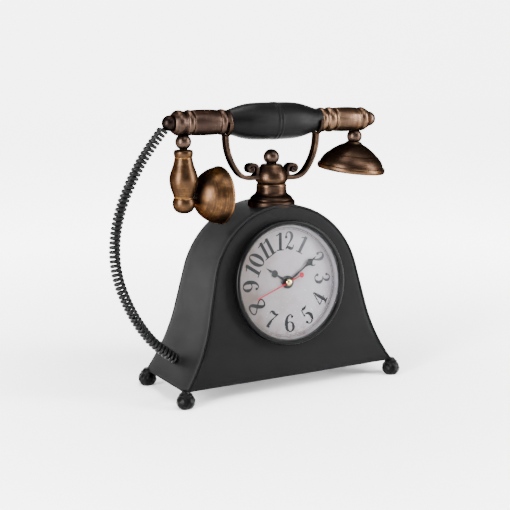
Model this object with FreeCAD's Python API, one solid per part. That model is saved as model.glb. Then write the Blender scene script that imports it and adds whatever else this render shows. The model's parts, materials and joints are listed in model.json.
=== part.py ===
"""Decorative table clock in the shape of an antique cradle telephone.

Millimetres, +Z up, X across the dial, front towards -Y. The origin is on the table, midway
between the four feet. Each function below models one group of pieces, and main() writes one
STEP file for each piece.
"""
import FreeCAD, Part
import math
import os

Vector = FreeCAD.Vector
X_AXIS = Vector(1, 0, 0)
Y_AXIS = Vector(0, 1, 0)
Z_AXIS = Vector(0, 0, 1)

# ---- Fits ----------------------------------------------------------------------------------
RUNNING = 0.05          # radial play of a turning shaft
SLIP = 0.10             # radial play of a stud, rod or nut in its hole
REST_GAP = 0.30         # between a resting piece and what it rests on, on another body

# ---- Sheet-metal housing -------------------------------------------------------------------
BASE_Z = 13.4           # underside of the housing above the table
HALF_WIDTH = 105.2      # housing half width at its underside
HALF_DEPTH = 40.8       # housing half depth at its underside
ARCH_RADIUS = 72.8      # round top of the outline
ARCH_Z = 89.3           # height of the arch's centre
ARCH_TOP_Z = ARCH_Z + ARCH_RADIUS
SIDE_LEAN_ANGLE = 12.7  # lean of the straight flanks, degrees from upright
FLARE_RADIUS = 150.0    # hollow flare from the flanks to the base corners
FRONT_LEAN_ANGLE = 7.5  # front plate, degrees from upright
BACK_LEAN_ANGLE = 5.2   # back plate, degrees from upright
BAND_SHEET = 1.6        # wrap-around band
PLATE_SHEET = 1.2       # front, back and base plates
PLATE_RECESS = 0.6      # plates sit this far inside the band's edges
BACK_HOLE_RADIUS = 42.0
BACK_HOLE_Z = 90.0

# ---- Ball feet -----------------------------------------------------------------------------
FOOT_RADIUS = 7.5
FOOT_FLAT_RADIUS = 3.0
FOOT_INSET_X = 0.8      # foot centre inside the housing's base corner
FOOT_INSET_Y = 1.8

# ---- Clock insert, heights measured along the dial's normal from the front plate -----------
DIAL_Z = 95.2
CASE_RADIUS = 50.6
CASE_WALL = 1.2
CASE_FLOOR = 1.5
CASE_RIM = 4.4
DIAL_DEPTH = 2.5
DIAL_CARD = 0.5
BEZEL_FLANGE = 3.4      # bezel outside the case
BEZEL_HEIGHT = 7.5
BEZEL_OVERLAP = 1.0     # bezel lip over the edge of the glass
BEZEL_EDGE_ROUND = 1.6
GLASS_THICKNESS = 1.6
GLASS_RISE = 2.2
RING_WIDTH = 4.8
RING_HEIGHT = 2.0

# ---- Quartz movement -----------------------------------------------------------------------
MOVEMENT_HALF = 28.0
MOVEMENT_DEPTH = 15.5
MOVEMENT_CORNER = 4.0
BUSHING_RADIUS = 3.9
BUSHING_TAIL = 2.0
BUSHING_TOP = -0.8
POCKET_DEPTH = 5.3
NUT_ACROSS = 10.5
NUT_HEIGHT = 1.1
WASHER_RADIUS = 6.0
WASHER_HEIGHT = 0.4
HOUR_PIPE_RADIUS = 2.7
MINUTE_ARBOR_RADIUS = 1.7
SECOND_ARBOR_RADIUS = 0.65
WHEEL_HEIGHT = 0.8
WHEEL_RIM_CLEARANCE = 0.3
KNOB_OFFSET = 9.0
KNOB_RADIUS = 6.5
KNOB_HEIGHT = 4.0
KNOB_STEM_RADIUS = 1.5
KNOB_STEM_LENGTH = 6.0
KNOB_FLUTES = 18
KNOB_FLUTE_RADIUS = 0.55
CELL_RADIUS = 7.15
CELL_LENGTH = 49.2
CELL_NUB_RADIUS = 2.75
CELL_NUB = 1.3
CELL_OFFSET = -17.0
BAY_PLAY = 0.35
CONTACT_SHEET = 0.5
CONTACT_HALF = 4.5
CONTACT_DIMPLE_RADIUS = 2.0
BAY_END_PLAY = 1.0

# ---- Hands, heights along the dial's normal ------------------------------------------------
HOUR_LEVEL = -0.6
HOUR_HUB_RADIUS = 5.75
HOUR_HUB_HEIGHT = 0.9
HOUR_DISC_REACH = 14.9
HOUR_DISC_RADIUS = 3.3
HOUR_TIP = 24.7
HOUR_ANGLE = 304.5      # clockwise from twelve
MINUTE_LEVEL = 0.6
MINUTE_HUB_RADIUS = 3.6
MINUTE_HUB_HEIGHT = 0.7
MINUTE_SPADE_REACH = 27.4
MINUTE_SPADE_HALF = 3.5
MINUTE_TIP = 36.4
MINUTE_ANGLE = 56.5
SECOND_LEVEL = 1.6
SECOND_HUB_RADIUS = 1.7
SECOND_HUB_HEIGHT = 0.6
SECOND_TIP = 35.4
SECOND_TAIL = 14.3
SECOND_TAIL_RADIUS = 2.4
SECOND_HALF_WIDTH = 0.45
SECOND_ANGLE = 249.7
HAND_SHEET = 0.3
CAP_RADIUS = 2.95
CAP_HEIGHT = 1.9

# ---- Pedestal on top of the housing --------------------------------------------------------
FLANGE_RADIUS = 20.9
COLUMN_RADIUS = 13.4
SEAM_RADIUS = 12.5
SEAM_Z = ARCH_TOP_Z + 16.7
DOME_RADIUS = 14.4
DOME_TOP_RADIUS = 9.1
DOME_TOP_Z = SEAM_Z + 16.5
FINIAL_RADIUS = 6.7
FINIAL_Z = DOME_TOP_Z + 6.0
STUD_RADIUS = 2.0
STUD_TAIL = 2.3         # stud below its nut
PEDESTAL_WASHER_RADIUS = 6.0
PEDESTAL_WASHER_HEIGHT = 1.5
PEDESTAL_NUT_ACROSS = 7.0
PEDESTAL_NUT_HEIGHT = 3.2

# ---- Cradle --------------------------------------------------------------------------------
YOKE_SPACING = 90.6     # from one yoke's middle to the other's
YOKE_WIDTH = 3.2
YOKE_SHEET = 2.4
YOKE_TIP_RISE = 0.5
STRIP_WIDTH = 7.5
STRIP_THICKNESS = 3.2
ARM_NECK = 0.2          # straight length below the yoke
ARM_UPPER_RADIUS = 48.0
ARM_UPPER_ANGLE = 40.0
ARM_LOWER_RADIUS = 15.4
SCROLL_STANDOFF = 3.5   # scroll's root outside the dome
SCROLL_ROOT_RADIUS = 5.0
SCROLL_RISE = 1.8
SCROLL_CROWN_RADIUS = 3.6
SCROLL_CROWN_RUN = 2.5
SCROLL_EYE_RADIUS = 3.0
SCROLL_EYE_ANGLE = 230.0

# ---- Handset, stations measured along its axis from the middle of the housing --------------
AXIS_Z = DOME_TOP_Z + 37.7
HANDSET_TILT_ANGLE = 1.25  # right end lower, degrees
ROD_RADIUS = 2.5
NECK_RADIUS = 10.2
BARREL_RADIUS = 10.8
BARREL_SWELL = 0.25
BEAD_RADIUS = 11.15
GRIP_RADIUS = 16.2
GRIP_MIDDLE = 1.6
GRIP_RING = 0.5
KNOB_BALL_RADIUS = 6.7
DROP_BALL_RADIUS = 6.8
LEFT_KNOB = -97.6
LEFT_DROP = -85.2
LEFT_DROP_HANG = 15.9   # ball centre below the handset's axis
RIGHT_KNOB = 101.0
RIGHT_DROP = 86.6
RIGHT_DROP_HANG = 15.6
FERRULE_BEAD_LENGTH = 5.4
LEFT_BARREL_LENGTH = 24.0
OUTER_BEAD_LENGTH = 5.6
RING_LENGTH = 4.8
RIGHT_BEAD_LENGTH = 7.0
RIGHT_BARREL_LENGTH = 23.0
RIGHT_COLLAR_NECK = 3.6

# ---- Transmitter and receiver --------------------------------------------------------------
BALUSTER_TOP_Z = AXIS_Z - 20.0
BALUSTER_LENGTH = 54.7
BALUSTER_BELLY_RADIUS = 12.2
BALUSTER_WAIST_RADIUS = 8.6
CUP_RADIUS = 24.6
CUP_SHEET = 1.2
CUP_LIP = 0.6
CUP_LIP_WIDTH = 1.8
CUP_AXIS_RISE = 14.0    # cup's axis above the bottom of the baluster
CUP_MOUTH_X = -49.2
CUP_TURN_ANGLE = 5.0    # mouth turned towards the back, degrees
CUP_DROOP_ANGLE = 2.1
CUP_STEM_RADIUS = 4.2
BELL_NECK_Z = AXIS_Z - 22.2
BELL_NECK_RADIUS = 6.5
BELL_MOUTH_RADIUS = 29.6
BELL_HEIGHT = 26.0
BELL_SHEET = 1.2
BELL_LEAN_X_ANGLE = 5.0  # mouth towards the cradle, degrees
BELL_LEAN_Y_ANGLE = 4.0  # mouth towards the back, degrees
RIM_RADIUS = 30.6
RIM_WIDTH = 3.5

# ---- Wire spring cord, its outer shape -----------------------------------------------------
CORD_DIAMETER = 9.5
CORD_ROUTE = [
    (-103.0, 230.5),
    (-118.8, 212.8),
    (-133.5, 188.5),
    (-144.5, 163.8),
    (-149.8, 137.0),
    (-148.2, 110.5),
    (-138.9, 84.0),
    (-126.0, 61.5),
    (-112.2, 44.5),
    (-94.0, 31.2),
]
CORD_BEND_SHARE = 0.45

FAR = 400.0             # larger than the whole object, for cutting blocks


# ---- Sketch helpers ------------------------------------------------------------------------
def upright(a, b):
    """A sketch point in the XZ plane."""
    return Vector(a, 0, b)


def level(a, b):
    """A sketch point in the XY plane."""
    return Vector(a, b, 0)


def outline(start, steps, plane=upright):
    """Close a face from a start point and steps.

    A step is a point for a straight line, ("arc", middle, end) or ("curve", points).
    """
    edges = []
    here = start
    for step in steps:
        if step[0] == "arc":
            middle, end = step[1], step[2]
            edges.append(Part.Arc(plane(*here), plane(*middle), plane(*end)).toShape())
            here = end
        elif step[0] == "curve":
            spline = Part.BSplineCurve()
            spline.interpolate([plane(*here)] + [plane(*point) for point in step[1]])
            edges.append(spline.toShape())
            here = step[1][-1]
        else:
            edges.append(Part.makeLine(plane(*here), plane(*step)))
            here = step
    if plane(*here).distanceToPoint(plane(*start)) > 1e-6:
        edges.append(Part.makeLine(plane(*here), plane(*start)))
    return Part.Face(Part.Wire(edges))


def turned(start, steps):
    """Revolve a (radius, height) profile about Z."""
    return outline(start, steps).revolve(Vector(), Z_AXIS, 360)


def disc(radius, low, high):
    """A round bar about Z from one height to another."""
    return Part.makeCylinder(radius, high - low, Vector(0, 0, low))


def tube(outer, inner, low, high):
    """A ring about Z."""
    return disc(outer, low, high).cut(disc(inner, low - 1, high + 1))


def crown_arc(radius, low, rise):
    """Outline step for a sphere's cap, from its rim up to its crown on the Z axis."""
    sphere = (radius**2 + rise**2) / (2 * rise)
    half = math.asin(radius / sphere) / 2
    centre = low + rise - sphere
    return ("arc", (sphere * math.sin(half), centre + sphere * math.cos(half)), (0, low + rise))


def hexagon(across, low, high):
    """A hexagonal bar about Z."""
    corner = across / math.sqrt(3)
    angles = [k * math.pi / 3 for k in range(7)]
    points = [level(corner * math.cos(angle), corner * math.sin(angle)) for angle in angles]
    face = Part.Face(Part.makePolygon(points))
    return face.extrude(Vector(0, 0, high - low)).translated(Vector(0, 0, low))


def moved(shape, origin, direction):
    """Turn a shape's Z axis to a direction and move it to an origin."""
    result = shape.copy()
    turn = FreeCAD.Rotation(Z_AXIS, direction)
    result.Placement = FreeCAD.Placement(origin, turn).multiply(shape.Placement)
    return result


def mirrored(shape):
    """The other hand of a shape, across the YZ plane."""
    return shape.mirror(Vector(), X_AXIS)


# ---- Housing -------------------------------------------------------------------------------
def housing_outline(inset, bottom):
    """The arch-and-flare outline, inset evenly, from a bottom height up."""
    lean = math.radians(SIDE_LEAN_ANGLE)
    outward = (math.cos(lean), math.sin(lean))
    down = (math.sin(lean), -math.cos(lean))
    shoulder = (ARCH_RADIUS * outward[0], ARCH_Z + ARCH_RADIUS * outward[1])
    to_corner = (
        shoulder[0] + FLARE_RADIUS * outward[0] - HALF_WIDTH,
        shoulder[1] + FLARE_RADIUS * outward[1] - BASE_Z,
    )
    along = to_corner[0] * down[0] + to_corner[1] * down[1]
    square = to_corner[0] ** 2 + to_corner[1] ** 2
    flank = -along - math.sqrt(along**2 - square + FLARE_RADIUS**2)
    flare_x = shoulder[0] + flank * down[0] + FLARE_RADIUS * outward[0]
    flare_z = shoulder[1] + flank * down[1] + FLARE_RADIUS * outward[1]

    arch = ARCH_RADIUS - inset
    flare = FLARE_RADIUS + inset
    top = (0.0, ARCH_Z + arch)
    shoulder = (arch * outward[0], ARCH_Z + arch * outward[1])
    knee = (flare_x - flare * outward[0], flare_z - flare * outward[1])
    foot = (flare_x - math.sqrt(flare**2 - (flare_z - bottom) ** 2), bottom)
    middle_angle = (lean + math.asin((flare_z - bottom) / flare)) / 2
    middle = (flare_x - flare * math.cos(middle_angle), flare_z - flare * math.sin(middle_angle))

    def left(point):
        return (-point[0], point[1])

    return outline(
        left(foot),
        [
            ("arc", left(middle), left(knee)),
            left(shoulder),
            ("arc", top, shoulder),
            knee,
            ("arc", middle, foot),
        ],
    )


def housing_prism(inset, bottom=BASE_Z):
    """The outline run right through in depth."""
    face = housing_outline(inset, bottom)
    return face.extrude(Vector(0, FAR, 0)).translated(Vector(0, -FAR / 2, 0))


def between_planes(front_inset, back_inset):
    """The block between the leaning front and back planes, each moved inwards."""
    front = math.radians(FRONT_LEAN_ANGLE)
    back = math.radians(BACK_LEAN_ANGLE)
    top_rise = FAR - BASE_Z
    front_foot = -HALF_DEPTH + front_inset / math.cos(front)
    back_foot = HALF_DEPTH - back_inset / math.cos(back)
    points = [
        Vector(0, front_foot - BASE_Z * math.tan(front), 0),
        Vector(0, front_foot + top_rise * math.tan(front), FAR),
        Vector(0, back_foot - top_rise * math.tan(back), FAR),
        Vector(0, back_foot + BASE_Z * math.tan(back), 0),
    ]
    apex_rise = (back_foot - front_foot) / (math.tan(front) + math.tan(back))
    if apex_rise < top_rise:
        points[1] = Vector(0, front_foot + apex_rise * math.tan(front), BASE_Z + apex_rise)
        del points[2]
    face = Part.Face(Part.makePolygon(points + points[:1]))
    return face.extrude(Vector(FAR, 0, 0)).translated(Vector(-FAR / 2, 0, 0))


def clock_centre():
    """Where the dial's axis meets the face of the front plate."""
    lean = math.radians(FRONT_LEAN_ANGLE)
    face_foot = -HALF_DEPTH + PLATE_RECESS / math.cos(lean)
    return Vector(0, face_foot + (DIAL_Z - BASE_Z) * math.tan(lean), DIAL_Z)


def on_clock(shape):
    """Place a piece drawn with Z as the dial's normal and Y as up the dial."""
    result = shape.copy()
    turn = FreeCAD.Rotation(X_AXIS, 90 - FRONT_LEAN_ANGLE)
    result.Placement = FreeCAD.Placement(clock_centre(), turn).multiply(shape.Placement)
    return result


def stud_hole(clearance=SLIP):
    """The upright hole for the pedestal's stud."""
    return disc(STUD_RADIUS + clearance, ARCH_Z, FINIAL_Z + FINIAL_RADIUS)


def housing_pieces():
    """Wrap band, front, back and base plates."""
    inner = housing_prism(BAND_SHEET)
    band = housing_prism(0).cut(housing_prism(BAND_SHEET, BASE_Z - 1))
    band = band.common(between_planes(0, 0)).cut(stud_hole())
    deep = PLATE_RECESS + PLATE_SHEET
    front = inner.common(between_planes(PLATE_RECESS, 0)).cut(between_planes(deep, -FAR / 4))
    front = front.cut(on_clock(disc(CASE_RADIUS + SLIP, -5, 5)))
    back = inner.common(between_planes(0, PLATE_RECESS)).cut(between_planes(-FAR / 4, deep))
    hole = Part.makeCylinder(BACK_HOLE_RADIUS, FAR, Vector(0, 0, BACK_HOLE_Z), Y_AXIS)
    base = inner.common(between_planes(deep, deep)).common(
        Part.makeBox(FAR, FAR, PLATE_SHEET, Vector(-FAR / 2, -FAR / 2, BASE_Z))
    )
    return {"side_band": band, "front_plate": front, "back_plate": back.cut(hole), "base_plate": base}


def feet():
    """Four balls, each coped to the housing corner that it is brazed to."""
    centre_z = math.sqrt(FOOT_RADIUS**2 - FOOT_FLAT_RADIUS**2)
    below = Part.makeBox(FAR, FAR, FAR, Vector(-FAR / 2, -FAR / 2, -FAR))
    envelope = housing_prism(0).common(between_planes(0, 0))
    pieces = {}
    for row, side_y in (("front", -1), ("back", 1)):
        for hand, side_x in (("left", -1), ("right", 1)):
            centre_x = side_x * (HALF_WIDTH - FOOT_INSET_X)
            centre_y = side_y * (HALF_DEPTH - FOOT_INSET_Y)
            centre = Vector(centre_x, centre_y, centre_z)
            ball = Part.makeSphere(FOOT_RADIUS, centre)
            pieces[f"foot_{row}_{hand}"] = ball.cut(below).cut(envelope)
    return pieces


# ---- Clock insert --------------------------------------------------------------------------
def insert_pieces():
    """Bezel, domed glass, dial, cup-shaped case and the ring that holds it in the plate."""
    inside = CASE_RADIUS + RUNNING
    outside = CASE_RADIUS + BEZEL_FLANGE
    opening = CASE_RADIUS - BEZEL_OVERLAP
    lip = CASE_RIM + GLASS_THICKNESS
    round_start = BEZEL_HEIGHT - BEZEL_EDGE_ROUND
    bevel = BEZEL_EDGE_ROUND * (1 - math.sqrt(0.5))
    bezel = turned(
        (inside, 0),
        [
            (outside, 0),
            (outside, round_start),
            (
                "arc",
                (outside - bevel, BEZEL_HEIGHT - bevel),
                (outside - BEZEL_EDGE_ROUND, BEZEL_HEIGHT),
            ),
            (opening + PLATE_RECESS, BEZEL_HEIGHT),
            (opening, BEZEL_HEIGHT - PLATE_RECESS),
            (opening, lip),
            (inside, lip),
        ],
    )
    edge = CASE_RADIUS - SLIP
    crown = crown_arc(opening, lip, GLASS_RISE)
    glass = turned((0, CASE_RIM), [(edge, CASE_RIM), (edge, lip), (opening, lip), crown])
    hollow = crown_arc(edge - CASE_WALL, CASE_RIM, GLASS_RISE)
    glass = glass.cut(turned((0, CASE_RIM), [(edge - CASE_WALL, CASE_RIM), hollow]))
    floor = -DIAL_DEPTH - DIAL_CARD
    hole = BUSHING_RADIUS + SLIP
    dial = tube(CASE_RADIUS - CASE_WALL - SLIP, hole, floor, -DIAL_DEPTH)
    case = disc(CASE_RADIUS, floor - CASE_FLOOR, CASE_RIM)
    case = case.cut(disc(CASE_RADIUS - CASE_WALL, floor, CASE_RIM + 1)).cut(disc(hole, -FAR / 2, FAR / 2))
    ring = tube(CASE_RADIUS + RING_WIDTH, inside, -PLATE_SHEET - RING_HEIGHT, -PLATE_SHEET)
    return {
        "clock_bezel": bezel,
        "clock_glass": glass,
        "dial_plate": dial,
        "clock_case": case,
        "case_retaining_ring": ring,
    }


def movement_pieces():
    """Battery movement behind the dial, with its bushing, nut, set knob, contacts and cell."""
    front = -DIAL_DEPTH - DIAL_CARD - CASE_FLOOR
    back = front - MOVEMENT_DEPTH
    side = 2 * MOVEMENT_HALF
    case = Part.makeBox(side, side, MOVEMENT_DEPTH, Vector(-MOVEMENT_HALF, -MOVEMENT_HALF, back))
    corners = [edge for edge in case.Edges if abs(edge.tangentAt(edge.FirstParameter).z) > 0.9]
    case = case.makeFillet(MOVEMENT_CORNER, corners)
    pocket_radius = BUSHING_RADIUS + RUNNING
    case = case.cut(disc(pocket_radius, front - POCKET_DEPTH, front + 1))

    cell_z = back + CELL_RADIUS + BAY_PLAY
    bay_radius = CELL_RADIUS + BAY_PLAY
    cell_half = (CELL_LENGTH + CELL_NUB) / 2
    bay_half = cell_half + BAY_END_PLAY
    bay = Part.makeCylinder(bay_radius, 2 * bay_half, Vector(-bay_half, CELL_OFFSET, cell_z), X_AXIS)
    mouth_corner = Vector(-bay_half, CELL_OFFSET - bay_radius, back - 1)
    mouth = Part.makeBox(2 * bay_half, 2 * bay_radius, cell_z - back + 1, mouth_corner)
    case = case.cut(bay.fuse(mouth))
    stem_hole = disc(KNOB_STEM_RADIUS + RUNNING, back - 1, back + KNOB_STEM_LENGTH + SLIP)
    case = case.cut(stem_hole.translated(Vector(0, KNOB_OFFSET, 0)))

    pipe_hole = HOUR_PIPE_RADIUS + RUNNING
    bushing = tube(BUSHING_RADIUS, pipe_hole, front - BUSHING_TAIL, BUSHING_TOP)
    washer = tube(WASHER_RADIUS, BUSHING_RADIUS + SLIP, -DIAL_DEPTH, -DIAL_DEPTH + WASHER_HEIGHT)
    nut_low = -DIAL_DEPTH + WASHER_HEIGHT
    nut_hole = disc(BUSHING_RADIUS + SLIP, nut_low - 1, nut_low + NUT_HEIGHT + 1)
    nut = hexagon(NUT_ACROSS, nut_low, nut_low + NUT_HEIGHT).cut(nut_hole)

    knob = disc(KNOB_RADIUS, back - KNOB_HEIGHT - REST_GAP, back - REST_GAP)
    for k in range(KNOB_FLUTES):
        angle = 2 * math.pi * k / KNOB_FLUTES
        spot = Vector(KNOB_RADIUS * math.cos(angle), KNOB_RADIUS * math.sin(angle), 0)
        knob = knob.cut(disc(KNOB_FLUTE_RADIUS, back - KNOB_HEIGHT - 1, back).translated(spot))
    knob = knob.fuse(disc(KNOB_STEM_RADIUS, back - 1, back + KNOB_STEM_LENGTH)).removeSplitter()
    knob = knob.translated(Vector(0, KNOB_OFFSET, 0))

    can_start = Vector(-cell_half, CELL_OFFSET, cell_z)
    nub_start = Vector(-cell_half + CELL_LENGTH, CELL_OFFSET, cell_z)
    cell = Part.makeCylinder(CELL_RADIUS, CELL_LENGTH, can_start, X_AXIS)
    cell = cell.fuse(Part.makeCylinder(CELL_NUB_RADIUS, CELL_NUB, nub_start, X_AXIS))

    contacts = []
    for side_x in (-1, 1):
        wall_x = side_x * bay_half
        face_x = side_x * (bay_half - CONTACT_SHEET)
        tip_x = side_x * (cell_half + SLIP)
        sheet = Part.makeBox(
            CONTACT_SHEET,
            2 * CONTACT_HALF,
            2 * CONTACT_HALF,
            Vector(min(wall_x, face_x), CELL_OFFSET - CONTACT_HALF, cell_z - CONTACT_HALF),
        )
        dimple_start = Vector(min(face_x, tip_x), CELL_OFFSET, cell_z)
        dimple_length = abs(face_x - tip_x)
        dimple = Part.makeCylinder(CONTACT_DIMPLE_RADIUS, dimple_length, dimple_start, X_AXIS)
        contacts.append(sheet.fuse(dimple).removeSplitter())
    return {
        "movement_case": case,
        "movement_bushing": bushing,
        "movement_washer": washer,
        "movement_nut": nut,
        "set_knob": knob,
        "battery_cell": cell,
        "battery_contacts": Part.makeCompound(contacts),
    }


def hand_placed(shape, angle):
    """Turn a hand drawn pointing up the dial clockwise by an angle."""
    return shape.rotated(Vector(), Z_AXIS, -angle)


def hand_pieces():
    """Three hands on nested arbors, and the brass cap in the middle."""
    front = -DIAL_DEPTH - DIAL_CARD - CASE_FLOOR
    wheel_radius = BUSHING_RADIUS - WHEEL_RIM_CLEARANCE
    hour_wheel_top = front - BUSHING_TAIL - SLIP
    minute_wheel_top = hour_wheel_top - WHEEL_HEIGHT - SLIP
    hour_top = HOUR_LEVEL + HOUR_HUB_HEIGHT
    minute_top = MINUTE_LEVEL + MINUTE_HUB_HEIGHT
    second_top = SECOND_LEVEL + SECOND_HUB_HEIGHT
    minute_hole = MINUTE_ARBOR_RADIUS + RUNNING
    second_hole = SECOND_ARBOR_RADIUS + RUNNING

    hour_pipe = disc(HOUR_PIPE_RADIUS, hour_wheel_top - WHEEL_HEIGHT, hour_top)
    hour_pipe = hour_pipe.fuse(disc(wheel_radius, hour_wheel_top - WHEEL_HEIGHT, hour_wheel_top))
    hour_pipe = hour_pipe.cut(disc(minute_hole, -FAR / 2, FAR / 2))
    minute_arbor = disc(MINUTE_ARBOR_RADIUS, minute_wheel_top - WHEEL_HEIGHT, minute_top)
    minute_arbor = minute_arbor.fuse(disc(wheel_radius, minute_wheel_top - WHEEL_HEIGHT, minute_wheel_top))
    minute_arbor = minute_arbor.cut(disc(second_hole, -FAR / 2, FAR / 2))
    second_arbor = disc(SECOND_ARBOR_RADIUS, minute_wheel_top - 2 * WHEEL_HEIGHT, second_top)

    waist = HOUR_DISC_RADIUS * 0.25
    hour_blade = outline(
        (-waist * 2, 0),
        [
            (-waist, HOUR_DISC_REACH),
            (-waist, HOUR_DISC_REACH + HOUR_DISC_RADIUS),
            (0, HOUR_TIP),
            (waist, HOUR_DISC_REACH + HOUR_DISC_RADIUS),
            (waist, HOUR_DISC_REACH),
            (waist * 2, 0),
        ],
        level,
    ).extrude(Vector(0, 0, HAND_SHEET))
    hour = hour_blade.fuse(disc(HOUR_DISC_RADIUS, 0, HAND_SHEET).translated(Vector(0, HOUR_DISC_REACH, 0)))
    hour = hour.fuse(disc(HOUR_HUB_RADIUS, 0, HOUR_HUB_HEIGHT)).translated(Vector(0, 0, HOUR_LEVEL))
    hour = hour.removeSplitter().cut(disc(HOUR_PIPE_RADIUS, -FAR / 2, FAR / 2))

    stem = MINUTE_SPADE_HALF * 0.2
    minute_blade = outline(
        (-stem * 1.6, 0),
        [
            (-stem, MINUTE_SPADE_REACH - MINUTE_SPADE_HALF),
            (-MINUTE_SPADE_HALF, MINUTE_SPADE_REACH),
            (-stem, MINUTE_SPADE_REACH + MINUTE_SPADE_HALF),
            (0, MINUTE_TIP),
            (stem, MINUTE_SPADE_REACH + MINUTE_SPADE_HALF),
            (MINUTE_SPADE_HALF, MINUTE_SPADE_REACH),
            (stem, MINUTE_SPADE_REACH - MINUTE_SPADE_HALF),
            (stem * 1.6, 0),
        ],
        level,
    ).extrude(Vector(0, 0, HAND_SHEET))
    minute = minute_blade.fuse(disc(MINUTE_HUB_RADIUS, 0, MINUTE_HUB_HEIGHT))
    minute = minute.translated(Vector(0, 0, MINUTE_LEVEL)).removeSplitter()
    minute = minute.cut(disc(MINUTE_ARBOR_RADIUS, -FAR / 2, FAR / 2))

    second_blade = outline(
        (-SECOND_HALF_WIDTH, -SECOND_TAIL),
        [
            (-SECOND_HALF_WIDTH, SECOND_TIP),
            (SECOND_HALF_WIDTH, SECOND_TIP),
            (SECOND_HALF_WIDTH, -SECOND_TAIL),
        ],
        level,
    ).extrude(Vector(0, 0, HAND_SHEET))
    tail = disc(SECOND_TAIL_RADIUS, 0, HAND_SHEET).translated(Vector(0, -SECOND_TAIL, 0))
    second = second_blade.fuse(tail).fuse(disc(SECOND_HUB_RADIUS, 0, SECOND_HUB_HEIGHT))
    second = second.translated(Vector(0, 0, SECOND_LEVEL)).removeSplitter()
    second = second.cut(disc(SECOND_ARBOR_RADIUS, -FAR / 2, FAR / 2))

    cap_shoulder = second_top + CAP_HEIGHT * 0.35
    crown = crown_arc(CAP_RADIUS, cap_shoulder, CAP_HEIGHT * 0.65)
    cap = turned((0, second_top), [(CAP_RADIUS, second_top), (CAP_RADIUS, cap_shoulder), crown])
    return {
        "hour_pipe": hour_pipe,
        "minute_arbor": minute_arbor,
        "second_arbor": second_arbor,
        "hour_hand": hand_placed(hour, HOUR_ANGLE),
        "minute_hand": hand_placed(minute, MINUTE_ANGLE),
        "second_hand": hand_placed(second, SECOND_ANGLE),
        "hand_cap": cap,
    }


def clock_pieces():
    """Everything drawn about the dial's axis, put in its place."""
    drawn = {}
    drawn.update(insert_pieces())
    drawn.update(movement_pieces())
    drawn.update(hand_pieces())
    return {name: on_clock(shape) for name, shape in drawn.items()}


# ---- Pedestal ------------------------------------------------------------------------------
def pedestal_solid_base():
    """Turned foot of the pedestal, before its underside is coped to the band."""
    top = ARCH_TOP_Z
    return turned(
        (0, ARCH_Z),
        [
            (FLANGE_RADIUS, ARCH_Z),
            (FLANGE_RADIUS, top - 0.3),
            ("arc", (FLANGE_RADIUS - 0.4, top + 1.3), (FLANGE_RADIUS - 1.5, top + 2.3)),
            (FLANGE_RADIUS - 2.1, top + 2.5),
            (FLANGE_RADIUS - 2.1, top + 3.5),
            ("curve", [(FLANGE_RADIUS - 3.8, top + 5.5), (COLUMN_RADIUS + 0.5, top + 7.5)]),
            (COLUMN_RADIUS, top + 8.5),
            (COLUMN_RADIUS, SEAM_Z - 3.0),
            ("arc", (COLUMN_RADIUS - 0.2, SEAM_Z - 1.2), (SEAM_RADIUS, SEAM_Z)),
            (0, SEAM_Z),
        ],
    )


def pedestal_solid_dome():
    """Turned dome of the pedestal."""
    height = DOME_TOP_Z - SEAM_Z
    return turned(
        (0, SEAM_Z),
        [
            (SEAM_RADIUS, SEAM_Z),
            ("arc", (DOME_RADIUS - 0.4, SEAM_Z + 0.14 * height), (DOME_RADIUS, SEAM_Z + 0.3 * height)),
            (
                "curve",
                [
                    (DOME_RADIUS - 1.0, SEAM_Z + 0.55 * height),
                    (DOME_RADIUS - 3.6, SEAM_Z + 0.82 * height),
                    (DOME_TOP_RADIUS, SEAM_Z + 0.95 * height),
                ],
            ),
            (DOME_TOP_RADIUS, DOME_TOP_Z),
            (0, DOME_TOP_Z),
        ],
    )


def pedestal_pieces():
    """Base, dome and finial on one stud, with a washer and nut inside the housing."""
    ceiling_z = ARCH_TOP_Z - BAND_SHEET
    washer_z = ceiling_z - PEDESTAL_WASHER_HEIGHT
    nut_z = washer_z - PEDESTAL_NUT_HEIGHT
    hole = stud_hole()
    finial = Part.makeSphere(FINIAL_RADIUS, Vector(0, 0, FINIAL_Z))
    finial = finial.cut(disc(FLANGE_RADIUS, BASE_Z, DOME_TOP_Z))
    finial_seat = disc(STUD_RADIUS + SLIP, DOME_TOP_Z - 1, FINIAL_Z)
    washer = disc(PEDESTAL_WASHER_RADIUS, washer_z, ceiling_z)
    washer = washer.common(housing_prism(BAND_SHEET)).cut(hole)
    nut = hexagon(PEDESTAL_NUT_ACROSS, nut_z, washer_z).cut(hole)
    return {
        "pedestal_base": pedestal_solid_base().cut(housing_prism(0)).cut(hole),
        "pedestal_dome": pedestal_solid_dome().cut(hole),
        "finial_ball": finial.cut(finial_seat),
        "pedestal_stud": disc(STUD_RADIUS, nut_z - STUD_TAIL, FINIAL_Z - SLIP),
        "pedestal_washer": washer,
        "pedestal_nut": nut,
    }


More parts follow.
